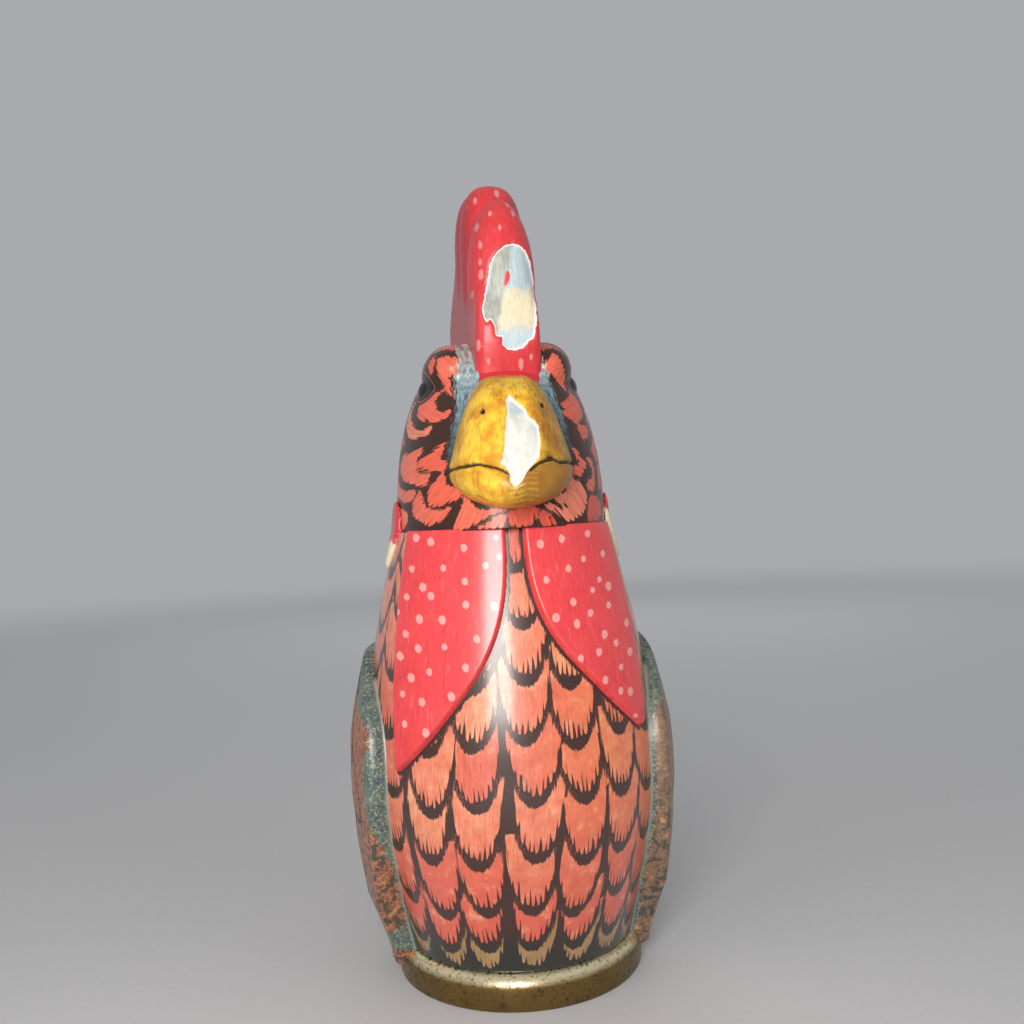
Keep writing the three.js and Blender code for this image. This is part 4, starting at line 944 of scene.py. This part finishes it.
# Feathers elsewhere on the head, where they aren't seen from the front, run back and down from the beak,
# and a row of them hangs along its lower edge.
def plume(i):
    """A head feather with its tip at one point of the head."""
    way = unit(co[i] - beak_middle) + PLUME_DROOP
    ahead = unit(way - out[i] * (way @ out[i]))
    return co[i], ahead, np.cross(out[i], ahead), PLUME_WIDTH, PLUME_LENGTH


hem = [np.argmin((around - turn) ** 2 + (over - neck - HEM_RISE) ** 2)
       for turn in np.linspace(-1, 1, HEM_COUNT) * math.pi * FACE_ROUND if abs(turn) > HEM_TURN]
hem = [plume(i) for i in hem if free[i]]
plumes = []
for i in np.argsort(((co - beak_middle) ** 2).sum(1)):
    under_comb = abs(co[i, 0]) < CROWN_HALF and over[i] > neck + CROWN_FROM
    if not free[i] or over[i] < neck + HEM_CLEAR or abs(around[i]) < FACE_TURN or under_comb:
        continue
    apart = [((co[i] - q[0]) ** 2).sum() for q in plumes[-PLUMES_NEAR:]]
    apart += [HEM_CLOSER * ((co[i] - q[0]) ** 2).sum() for q in hem]
    if min(apart) > PLUME_APART ** 2:
        plumes.append(plume(i))
edge, stroke = lay_feathers(co, plumes + hem, PLUME_GAP, PLUME_OUTLINE, PLUME_FORM, PLUME_FORM, True)
edge[~free & (on_face > -FACE_BARE)] = UNPAINTED
for number, (outline, depth) in enumerate(zip(FACE_FEATHERS, drawn), FACE_FIRST):
    middle = np.mean(outline, axis=0)
    way = unit(middle - beak_middle[[0, 2]])
    aside = (around - middle[0]) * way[1] - (over - middle[1]) * way[0]
    ahead = (around - middle[0]) * way[0] + (over - middle[1]) * way[1]
    mine = depth > np.maximum(edge, -1.5)
    edge[mine] = depth[mine] + FACE_GROWTH
    from_tip = np.where(ahead > -1.0, depth + FACE_GROWTH, FAR)
    stroke[mine] = np.stack([aside, from_tip, np.full(len(co), float(number))], 1)[mine]
write(head, "feather_edge", edge)
write(head, "feather_stroke", stroke)

# The border of the face: mm inside a sponged band along the beak and the comb, narrower on the bird's left.
# Some of the comb's red has run down between them.
FACE_LINES = (
    ((-10.0, 190), (-9.6, 180), (-10.2, 173), (-12.0, 165), (-14.2, 158.5), (-16.8, 150)),
    ((10.0, 190), (9.8, 180), (11.0, 174), (13.1, 168), (15.6, 162.0), (17.6, 151.9)),
)
BORDER_WIDTH = ((149, 0.3), (153, 1.1), (160, 1.6), (168, 2.3), (173, 3.4), (177, 3.4),
                (181, 2.6), (190, 3.6))
BORDER_ON_LEFT, BORDER_FADE = 0.62, 14.0
BORDER_BACK_LOW, BORDER_BACK_HIGH, BORDER_STEP = -8.0, 2.0, 183.0
SLOP_HALF, SLOP_MIDDLE, SLOP_LOW, SLOP_HIGH, SLOP_BACK = 8.6, 1.8, 173.4, 178.0, -18.0
EYE_RING_MIDDLE, EYE_RING_FORM = (0, -2.0, 1.0), (1, 0.8, 1.0)
EYE_RINGS = ((7.0, "#140E0D"), (6.4, "#8A3A2E"), (5.8, "#0E0A09"))


def off_line(a, b, line):
    """Mm away from an open line of points."""
    nearest = np.full(len(a), AWAY)
    for (a0, b0), (a1, b1) in zip(line, line[1:]):
        da, db = a1 - a0, b1 - b0
        t = np.clip(((a - a0) * da + (b - b0) * db) / (da * da + db * db), 0, 1)
        nearest = np.minimum(nearest, np.hypot(a - a0 - t * da, b - b0 - t * db))
    return nearest


nearest = np.min([off_line(co[:, 0], over, line) for line in FACE_LINES], axis=0)
nearest[co[:, 1] > np.where(over < BORDER_STEP, BORDER_BACK_LOW, BORDER_BACK_HIGH)] = AWAY
border = np.interp(over, *zip(*BORDER_WIDTH)) * np.where(co[:, 0] > 0, BORDER_ON_LEFT, 1.0)
border *= np.clip(-co[:, 1] / BORDER_FADE, 0, 1)
write(head, "face_border", np.stack([border - nearest, nearest, over], 1))
slop = np.minimum(SLOP_HALF - np.abs(co[:, 0] - SLOP_MIDDLE), np.minimum(over - SLOP_LOW, SLOP_HIGH - over))
write(head, "comb_slop", np.where(co[:, 1] < SLOP_BACK, slop, -FAR))
eye_places = [np.add(*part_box(name)) / 2 / MM for name in ("eye_left", "eye_right")]
from_eyes = [np.linalg.norm((co - eye - EYE_RING_MIDDLE) * EYE_RING_FORM, axis=1) for eye in eye_places]
write(head, "eye_distance", np.min(from_eyes, axis=0))

# The head's feathers: redder than the body's and less glossy, with the sponged band from dark below to
# pale blue-grey above, and rings of black and red-brown painted round the eyes.
head_paint, tree, shader, place, painted, tone, ground, _ = feather_paint(
    "brushed_head_feathers_varnished", ("#DC5442", "#E5664F", "#EA775E", "#EF9074"), ("#26130D", "#4A2E24"),
    1.3, 0.4)
colour = wire(tree, "Mix", {0: painted, 6: ground, 7: tone})
border = wire(tree, "Attribute", out="Vector", attribute_name="face_border")
strokes = wire(tree, "VectorMath", {0: border, 1: (0.0, 1 / 0.6, 1 / 1.9)}, operation="MULTIPLY")
sponge = wire(tree, "TexNoise", {"Vector": strokes, "Scale": 1.0, "Detail": 4.0, "Roughness": 0.65})
loose = wire(tree, "MapRange", {0: sponge, 1: 0.3, 2: 0.7, 3: -1.0, 4: 1.0})
border = wire(tree, "Math", {0: wire(tree, "SeparateXYZ", {0: border}), 1: loose}, operation="ADD")
height = wire(tree, "SeparateXYZ", {0: place}, out=2)
height = wire(tree, "MapRange", {0: height, 1: 148 * MM, 2: 188 * MM})
blue = wire(tree, "ValToRGB", {0: height}, stops=(
    (0.0, "#2A3339"), (0.3, "#55686F"), (0.55, "#7F98A2"), (0.72, "#9DAFB2"), (1.0, "#D3DAD4")))
wipe = wire(tree, "MapRange", {0: sponge, 1: 0.34, 2: 0.66, 3: 0.35, 4: 1.4})
blue = wire(tree, "Mix", {0: 1.0, 6: blue, 7: wipe}, blend_type="MULTIPLY")
colour = lay(tree, colour, blue, border, -0.5, 0.5)
slop = wire(tree, "Attribute", out="Fac", attribute_name="comb_slop")
colour = lay(tree, colour, "#C93038", slop, -0.2, 0.2)
ring = wire(tree, "Attribute", out="Fac", attribute_name="eye_distance")
for reach, code in EYE_RINGS:
    colour = lay(tree, colour, code, ring, reach, reach - 0.2)
tree.links.new(colour, shader.inputs["Base Color"])
hand_over(head, head_paint, "head_paint", "head_block")


# Comb: a thick serrated fin of wood, let into the crown. It is painted red with long pale dabs, and a
# large chip on its front has broken away to the grey and pale wood, leaving a rim of white primer.
COMB_CHIP = (
    (2.0, 212.0), (0.0, 210.6), (-1.8, 208.5), (-2.7, 206.6), (-3.2, 203.8), (-4.1, 199.7), (-4.9, 196.1),
    (-5.4, 194.4), (-5.2, 192.1), (-4.2, 189.8), (-3.2, 191.3), (-2.2, 189.4), (-1.8, 186.3),
    (0.1, 186.0), (-0.2, 184.1), (1.5, 182.4), (3.7, 182.3), (6.0, 182.9), (7.8, 184.8), (9.4, 185.9),
    (10.4, 190.8), (10.8, 196.8), (10.8, 203.3), (10.0, 208.1), (8.6, 211.2), (6.8, 212.4), (4.4, 212.7),
)
CHIP_RED = ((2.5, 204.8), (3.3, 204.0), (2.9, 202.3), (1.7, 200.3), (1.3, 200.9), (1.7, 202.8))
COMB_DABS = (
    (-1.4, 222.2), (5.3, 222.3), (-5.3, 219.0), (1.0, 217.4), (-4.7, 212.9), (-4.9, 204.2), (-5.0, 208.0),
    (-4.3, 229.9), (-6.8, 184.2), (-4.0, 179.4), (4.1, 225.4), (2.3, 232.1), (-7.4, 199.5), (-7.6, 190.5),
    (5.1, 178.6), (8.1, 180.6),
)
COMB_DIP, COMB_DIP_OVER, COMB_GRAIN, COMB_SANDING = 2.0, 4.0, 0.6, 26
COMB_CHIP_DEPTH, COMB_CHIP_REACH, COMB_FACE, COMB_SIDE = 0.75, -14.0, -8.0, -18.0
TOP_CHIP_SIZE, TOP_CHIP_ASIDE, TOP_CHIP_WIDE, TOP_CHIP_HIGH = 1.3, 3.2, 2.0, 0.9
DAB_SIZE, DAB_ROWS, DAB_COLUMNS, DAB_PITCH, DAB_RISE = 0.62, 7, 6, 10.0, 7.5
DAB_FRONT, DAB_FOOT, DAB_JITTER_BACK, DAB_JITTER_UP = -20.0, 184.0, 1.5, 1.2


def copy_node(node_name, name):
    """A copy of a CAD solid as a new piece, its loose triangles merged."""
    made = bpy.data.objects.new(name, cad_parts[node_name].data.copy())
    made.data.name = name
    scene.collection.objects.link(made)
    edit(made)
    bpy.ops.mesh.remove_doubles(threshold=1e-6)
    close_up(made)
    return made


comb_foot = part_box("comb")[0][2] / MM
comb = copy_node("comb", "carved_comb")
co = points(comb)
dip = COMB_DIP * np.clip((comb_foot + COMB_DIP_OVER - co[:, 2:]) / COMB_DIP_OVER, 0, 1)
move_points(comb, co - (0, 0, 1) * dip)
sand(comb, COMB_GRAIN, COMB_SANDING)
co, out = points(comb), normals(comb)
chip = inside(co[:, 0], co[:, 2], np.array(COMB_CHIP))
chip[co[:, 1] > COMB_CHIP_REACH] = -FAR
# The chip stays on what faces forwards, and a small one is added at the top.
chip = np.minimum(chip, -12 * (out[:, 1] + 0.1))
top_chip = np.hypot((co[:, 0] - TOP_CHIP_ASIDE) / TOP_CHIP_WIDE, (co[:, 2] - co[:, 2].max()) / TOP_CHIP_HIGH)
chip = np.maximum(chip, TOP_CHIP_SIZE - top_chip)
move_points(comb, co - out * (COMB_CHIP_DEPTH * np.clip((chip + 0.3) / 0.8, 0, 1))[:, None])
write(comb, "chip_edge", chip)
dots = np.full(len(co), -FAR)
for k, (x, z) in enumerate(COMB_DABS):
    dab = DAB_SIZE + 0.3 * (k % 3) / 2 - np.hypot((co[:, 0] - x) * 1.2, (co[:, 2] - z) * 0.6)
    dots = np.where((out[:, 1] < -0.2) & (co[:, 1] < COMB_FACE), np.maximum(dots, dab), dots)
rng = np.random.default_rng(3)
for row in range(DAB_ROWS):
    for k in range(DAB_COLUMNS):
        y = DAB_FRONT + DAB_PITCH * (k + (row % 2) / 2) + rng.uniform(-DAB_JITTER_BACK, DAB_JITTER_BACK)
        z = DAB_FOOT + DAB_RISE * row + rng.uniform(-DAB_JITTER_UP, DAB_JITTER_UP)
        dab = DAB_SIZE - np.hypot((co[:, 1] - y) * 1.2, (co[:, 2] - z) * 0.6)
        dots = np.where((np.abs(out[:, 0]) > 0.75) & (co[:, 1] > COMB_SIDE), np.maximum(dots, dab), dots)
write(comb, "dot_edge", dots)
# Painted shade: the flanks turn crimson the more they face aside, and more so towards the back.
flank = np.clip((np.abs(out[:, 0]) - 0.4) / 0.5, 0, 1) * np.clip((co[:, 1] + 32) / 18, 0.35, 1)
write(comb, "comb_flank_shade", flank)
write(comb, "chip_red", inside(co[:, 0], co[:, 2], np.array(CHIP_RED)))

# The comb's red paint, scratched, with painted shade that turns the flanks crimson. In the chip lie fibrous
# grey wood on the bird's right and pale wood on its left, cold grey above and below, a speck of red and the
# white primer's rim.
comb_red, tree, shader, colour, place = red_paint("red_paint_on_comb")
long = wire(tree, "Mapping", {"Vector": place, "Scale": (1.0, 1.0, 0.05)})
scratch = wire(tree, "TexNoise", {"Vector": long, "Scale": 1 / (0.6 * MM), "Detail": 3.0, "Roughness": 0.6})
crimson = wire(tree, "Mix", {0: scratch, 6: "#7A1822", 7: "#B8343C"})
flank = wire(tree, "Attribute", out="Fac", attribute_name="comb_flank_shade")
flank = wire(tree, "MapRange", {0: flank, 3: 0.2, 4: 0.85})
colour = wire(tree, "Mix", {0: flank, 6: colour, 7: crimson})
edge = frayed(tree, place, "chip_edge", 1.4, 0.14)
fibre = wire(tree, "Mapping", {"Vector": place, "Scale": (1.0, 1.0, 0.22)})
fibre = wire(tree, "TexNoise", {"Vector": fibre, "Scale": 1 / (0.7 * MM), "Detail": 4.0, "Roughness": 0.7})
grey, pale, cold = (wire(tree, "Mix", {0: fibre, 6: dark, 7: light}) for dark, light in (
    ("#5F5F55", "#D2D5CC"), ("#CDB98C", "#FBF3DC"), ("#8FA8B0", "#E4F1F4")))
aside, _, height = wire(tree, "SeparateXYZ", {0: place}).node.outputs
blotch = wire(tree, "TexNoise", {"Vector": place, "Scale": 1 / (2.6 * MM), "Detail": 3.0, "Roughness": 0.6})
shift = wire(tree, "MapRange", {0: blotch, 1: 0.3, 2: 0.7, 3: -2.2 * MM, 4: 2.2 * MM})
level = wire(tree, "Math", {0: height, 1: shift}, operation="ADD")
wood = lay(tree, pale, cold, level, 198.0 * MM, 201.5 * MM)
wood = lay(tree, wood, cold, level, 190.0 * MM, 187.0 * MM)
slant = wire(tree, "MapRange", {0: height, 1: 186 * MM, 2: 212 * MM, 3: -1.6 * MM, 4: 4.0 * MM})
rightward = wire(tree, "Math", {0: slant, 1: aside}, operation="SUBTRACT")
rightward = wire(tree, "Math", {0: shift, 1: 0.25, 2: rightward}, operation="MULTIPLY_ADD")
wood = lay(tree, wood, grey, rightward, -0.7 * MM, 0.7 * MM)
wood = lay(tree, wood, "#E0484C", frayed(tree, place, "chip_red", 1.4, 0.14), -0.25, 0.0)
wood = lay(tree, wood, "#F4F1EE", edge, 0.48, 0.28)
colour = lay(tree, colour, wood, edge, -0.06, 0.10)
tree.links.new(colour, shader.inputs["Base Color"])
coat = wire(tree, "MapRange", {0: edge, 1: -0.06, 2: 0.10, 3: 0.22, 4: 0.0})
tree.links.new(coat, shader.inputs["Coat Weight"])
hand_over(comb, comb_red, "red_paint", "comb")


# Beak: a block of wood let into the face and pinned, with a carved mouth line and pricked nostrils. It is
# stained ochre and glazed brown in the hollows, and a chip down its ridge shows the pale primer.
BEAK_CHIP = (
    (-0.6, 168.4), (-1.7, 166.5), (-1.8, 163.1), (-2.8, 158.2), (-3.4, 154.2), (-4.2, 150.8),
    (-4.8, 149.6), (-3.2, 148.2), (-2.5, 147.1), (-2.7, 144.6), (-1.5, 143.0), (0.2, 144.5), (2.4, 147.7),
    (5.6, 150.7), (6.3, 155.2), (6.4, 158.4), (5.6, 160.3), (3.8, 161.7), (3.3, 164.0), (1.9, 165.2),
    (0.5, 166.9),
)
MOUTH_LINE = (
    (-18.5, 148.9), (-16.8, 149.1), (-14.4, 149.5), (-12.0, 149.7), (-9.7, 149.9), (-8.5, 149.3),
    (-6.1, 148.6), (-3.7, 147.5), (-1.3, 146.1), (1.3, 147.0), (3.2, 147.9), (5.5, 149.4), (7.9, 150.2),
    (9.4, 150.5), (11.2, 149.6), (14.1, 149.6), (18.5, 149.4),
)
NOSTRILS, NOSTRIL_SIZE, NOSTRIL_DEPTH = ((-8.1, 163.8), (8.2, 164.9)), 0.85, 0.9
BEAK_GRAIN, BEAK_SANDING, BEAK_FACE, BEAK_CHIP_REACH = 0.5, 9, -30.0, -36.0
BEAK_CHIP_DEPTH, MOUTH_DEPTH, MOUTH_WIDTH = 0.6, 1.1, 0.5
RING_MIDDLE, RING_FORM, RING_PITCH = (2 * MM, -58 * MM, 130 * MM), (1.0, 0.35, 1.0), 1.3 * MM

beak = copy_node("beak", "carved_beak")
sand(beak, BEAK_GRAIN, BEAK_SANDING)
co, out = points(beak), normals(beak)
chip = inside(co[:, 0], co[:, 2], np.array(BEAK_CHIP))
chip[co[:, 1] > BEAK_CHIP_REACH] = -FAR
mouth = off_line(co[:, 0], co[:, 2], MOUTH_LINE)
nose = np.max([NOSTRIL_SIZE - np.hypot((co[:, 0] - x) * 1.3, co[:, 2] - z) for x, z in NOSTRILS], axis=0)
front = co[:, 1] < BEAK_FACE
chip_cut = BEAK_CHIP_DEPTH * np.clip((chip + 0.3) / 0.7, 0, 1)
mouth_cut = MOUTH_DEPTH * np.exp(-(mouth / MOUTH_WIDTH) ** 2) * (chip < 0)
nose_cut = NOSTRIL_DEPTH * np.clip((nose + 0.2) / 0.7, 0, 1)
move_points(beak, co - out * (front * np.maximum(np.maximum(chip_cut, mouth_cut), nose_cut))[:, None])
write(beak, "chip_edge", chip)
write(beak, "mouth_line", mouth + FAR * (chip > 0))
write(beak, "nostril", np.where(front, nose, -FAR))

# Ochre stain, yellower in clouds, with a brown glaze that shows the grain and brings out the cut year rings
# under the mouth. Painted shade browns the bird's left half of the beak, and the top is browner. The rings
# are drawn a little coarser than real.
beak_paint, tree, shader, place = paint("ochre_stain_brown_glaze", Roughness=0.45, Specular_IOR_Level=0.3,
                                        Coat_Weight=0.35, Coat_Roughness=0.2)
aside, _, height = wire(tree, "SeparateXYZ", {0: place}).node.outputs
cloud = wire(tree, "TexNoise", {"Vector": place, "Scale": 1 / (6 * MM), "Detail": 3.0, "Roughness": 0.55})
colour = lay(tree, "#D3901F", "#F4C93C", cloud, 0.36, 0.56)
long = wire(tree, "Mapping", {"Vector": place, "Scale": (1.0, 0.6, 0.12)})
grain = wire(tree, "TexNoise", {"Vector": long, "Scale": 1 / (0.8 * MM), "Detail": 4.0, "Roughness": 0.65})
lean = wire(tree, "MapRange", {0: height, 1: 150 * MM, 2: 170 * MM, 3: 6.0 * MM, 4: 4.5 * MM})
# Painted shade: brown laid over the bird's left half of the beak, the facet turned from the light.
shade = wire(tree, "Math", {0: aside, 1: lean}, operation="SUBTRACT")
shade = wire(tree, "MapRange", {0: shade, 1: -1.5 * MM, 2: 2.0 * MM, 3: 0.0, 4: 0.62})
rings = wire(tree, "VectorMath", {0: place, 1: RING_MIDDLE}, operation="SUBTRACT")
rings = wire(tree, "VectorMath", {0: rings, 1: RING_FORM}, operation="MULTIPLY")
rings = wire(tree, "VectorMath", {0: rings}, out="Value", operation="LENGTH")
waver = wire(tree, "MapRange", {0: cloud, 1: 0.3, 2: 0.7, 3: -0.7 * MM, 4: 0.7 * MM})
rings = wire(tree, "Math", {0: waver, 1: rings}, operation="ADD")
rings = wire(tree, "Math", {0: rings, 1: 2 * math.pi / RING_PITCH}, operation="MULTIPLY")
rings = wire(tree, "Math", {0: rings}, operation="SINE")
rings = wire(tree, "MapRange", {0: rings, 1: -1.0, 2: 1.0, 3: 0.62, 4: 1.0})
# The rings are real grain, but their brown, strongest on the bird's left below the mouth, is partly painted
# shade.
for value, none, full, least in ((height, 149.5, 148.0, 0.0), (aside, -5, 1, 0.0), (aside, 15, 9, 0.25)):
    part = wire(tree, "MapRange", {0: value, 1: none * MM, 2: full * MM, 3: least, 4: 1.0})
    rings = wire(tree, "Math", {0: rings, 1: part}, operation="MULTIPLY")
top = wire(tree, "MapRange", {0: height, 1: 166 * MM, 2: 174 * MM, 3: 0.0, 4: 0.4})
shade = wire(tree, "Math", {0: shade, 1: rings}, operation="ADD")
shade = wire(tree, "Math", {0: shade, 1: top}, operation="MAXIMUM")
line = wire(tree, "MapRange", {0: grain, 1: 0.50, 2: 0.36, 3: 0.0, 4: 0.4})
brown = wire(tree, "Math", {0: shade, 1: line}, operation="ADD")
brown = wire(tree, "Math", {0: brown, 1: 0.85}, operation="MINIMUM")
colour = wire(tree, "Mix", {0: brown, 6: colour, 7: "#85521D"})
lip = wire(tree, "Attribute", out="Fac", attribute_name="mouth_line")
colour = lay(tree, colour, "#2A1C10", lip, 0.55, 0.25, 0.95)
prick = wire(tree, "Attribute", out="Fac", attribute_name="nostril")
colour = lay(tree, colour, "#1F1A14", prick, -0.05, 0.2)
edge = frayed(tree, place, "chip_edge", 1.3, 0.14)
bare = wire(tree, "Mix", {0: grain, 6: "#BFC1B8", 7: "#FBF9F0"})
stain = wire(tree, "TexNoise", {"Vector": place, "Scale": 1 / (4 * MM), "Detail": 3.0, "W": 2.0},
             noise_dimensions="4D")
stain = wire(tree, "MapRange", {0: stain, 1: 0.40, 2: 0.60, 3: 0.0, 4: 0.75})
aloft = wire(tree, "MapRange", {0: height, 1: 154 * MM, 2: 163 * MM, 3: 0.25, 4: 1.0})
stain = wire(tree, "Math", {0: stain, 1: aloft}, operation="MULTIPLY")
within = wire(tree, "MapRange", {0: edge, 1: 0.5, 2: 0.9})
stain = wire(tree, "Math", {0: stain, 1: within}, operation="MULTIPLY")
bare = wire(tree, "Mix", {0: stain, 6: bare, 7: "#A9B6BC"})
colour = lay(tree, colour, bare, edge, -0.06, 0.10)
tree.links.new(colour, shader.inputs["Base Color"])
relief = wire(tree, "Bump", {"Height": grain, "Strength": 0.2, "Distance": 0.2 * MM})
tree.links.new(relief, shader.inputs["Normal"])
hand_over(beak, beak_paint, "beak_paint", "beak")


# Eyes: two polished beads of black glass, glued into drilled sockets under the brows, so that
# only their outer side shows.

# Black glass: almost mirror smooth, with a faint brown depth.
bead_black, *_ = flecked("black_glass_bead", 3.0, 2.0, "#050404", "#1A1210", Roughness=0.06, Coat_Weight=0.5,
                         Coat_Roughness=0.03)
for node_name in ("eye_left", "eye_right"):
    low, high = box_mm(node_name)
    bead = start("glass_" + node_name, SPHERE, segments=48, ring_count=32, radius=1.0)
    move_points(bead, points(bead) * MM * ((high - low) / 2) + (high + low) / 2)
    hand_over(bead, bead_black, "eye_paint", node_name)


# Tail: four arched blades on a root block, pinned and glued behind the rump. Carved lines run along every
# blade, and they are painted as the wings are, verdigris along the upper edges and copper under it.
TAIL_SEAT, TAIL_REACH, TAIL_HEIGHT = 56.0, 71.0, 170.0
TAIL_BLADES = (
    ((0.015, 0.355), (0.055, 0.62), (0.225, 0.88), (0.505, 1), (0.79, 0.955), (0.9, 0.855), (0.72, 0.87),
     (0.575, 0.81), (0.45, 0.645), (0.31, 0.41), (0.195, 0.295)),
    ((0.015, 0.305), (0.115, 0.53), (0.34, 0.755), (0.65, 0.825), (0.9, 0.765), (1, 0.655), (0.815, 0.68),
     (0.675, 0.625), (0.505, 0.48), (0.34, 0.33), (0.195, 0.235)),
    ((0.015, 0.26), (0.14, 0.435), (0.395, 0.6), (0.675, 0.645), (0.885, 0.575), (0.96, 0.47),
     (0.775, 0.505), (0.62, 0.445), (0.45, 0.34), (0.255, 0.235), (0.085, 0.21)),
    ((0.015, 0.225), (0.14, 0.34), (0.365, 0.46), (0.605, 0.48), (0.775, 0.41), (0.815, 0.33),
     (0.65, 0.36), (0.505, 0.32), (0.31, 0.26), (0.085, 0.21)),
)
TAIL_LINES, TAIL_LINE_CUT, TAIL_LINE_WIDTH, TAIL_GREEN = (0.0, 4.6, 9.2, 13.8), 0.6, 0.6, 4.6
TAIL_GRAIN, TAIL_SANDING = 0.6, 12
# A blade's upper edge runs from its first corner to its sixth.
UPPER_EDGE = slice(0, 5 * CURVE_STEPS + 1)

tail = copy_node("tail", "carved_tail")
root = body_skin("tail_root", 200, 90)
saw(root, rump, (0, 1, 0), clear_inner=True)
join(tail, root)
sand(tail, TAIL_GRAIN, TAIL_SANDING)
co, out = points(tail), normals(tail)
under = np.full(len(co), FAR)
for shares in TAIL_BLADES:
    blade = rounded(np.array(shares) * (TAIL_REACH, TAIL_HEIGHT) + (TAIL_SEAT, plinth_high[2]))
    mine = inside(co[:, 1], co[:, 2], blade) > -0.4
    under[mine] = off_line(co[:, 1], co[:, 2], blade[UPPER_EDGE])[mine]
carved = np.min([np.abs(under - line) for line in TAIL_LINES], axis=0)
carved[np.abs(out[:, 0]) < 0.5] = FAR
move_points(tail, co - out * (TAIL_LINE_CUT * np.exp(-(carved / TAIL_LINE_WIDTH) ** 2))[:, None])
write(tail, "verdigris_band", TAIL_GREEN - under)
write(tail, "feather_edge", carved)
write(tail, "wing_front", np.full(len(co), FAR))
hand_over(tail, wing_paint, "tail_paint", "tail")


# Dowels and pins: plain turned beech rods, glued into drilled holes. They hold the head, the tail, the
# beak and the wings, and are hidden in the joints.


def dress(finish, *words):
    """Gives a finish to the CAD solids that are shown as they are and have one of these words in the name."""
    for node_name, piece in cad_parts.items():
        if any(word in node_name for word in words):
            piece.data.materials.clear()
            piece.data.materials.append(finish)


# Bare beech: matt, light brown, with fine pores.
beech, *_ = flecked("turned_beech", 1.2, 4.0, "#B08658", "#D9B687", 0.6, Roughness=0.6)
dress(beech, "dowel", "pin_")


# Screws: two countersunk steel wood screws, driven up through the plinth into the body, with their heads
# sunk in the plinth's underside.

# Zinc-plated steel: a grey metal with fine scratches that vary its gloss.
steel, tree, shader, _, scratch = flecked("zinc_plated_steel", 0.6, 3.0, "#8E9194", "#B9BCBE", Metallic=1.0)
rough = wire(tree, "MapRange", {0: scratch, 1: 0.3, 2: 0.7, 3: 0.25, 4: 0.5})
tree.links.new(rough, shader.inputs["Roughness"])
dress(steel, "screw")
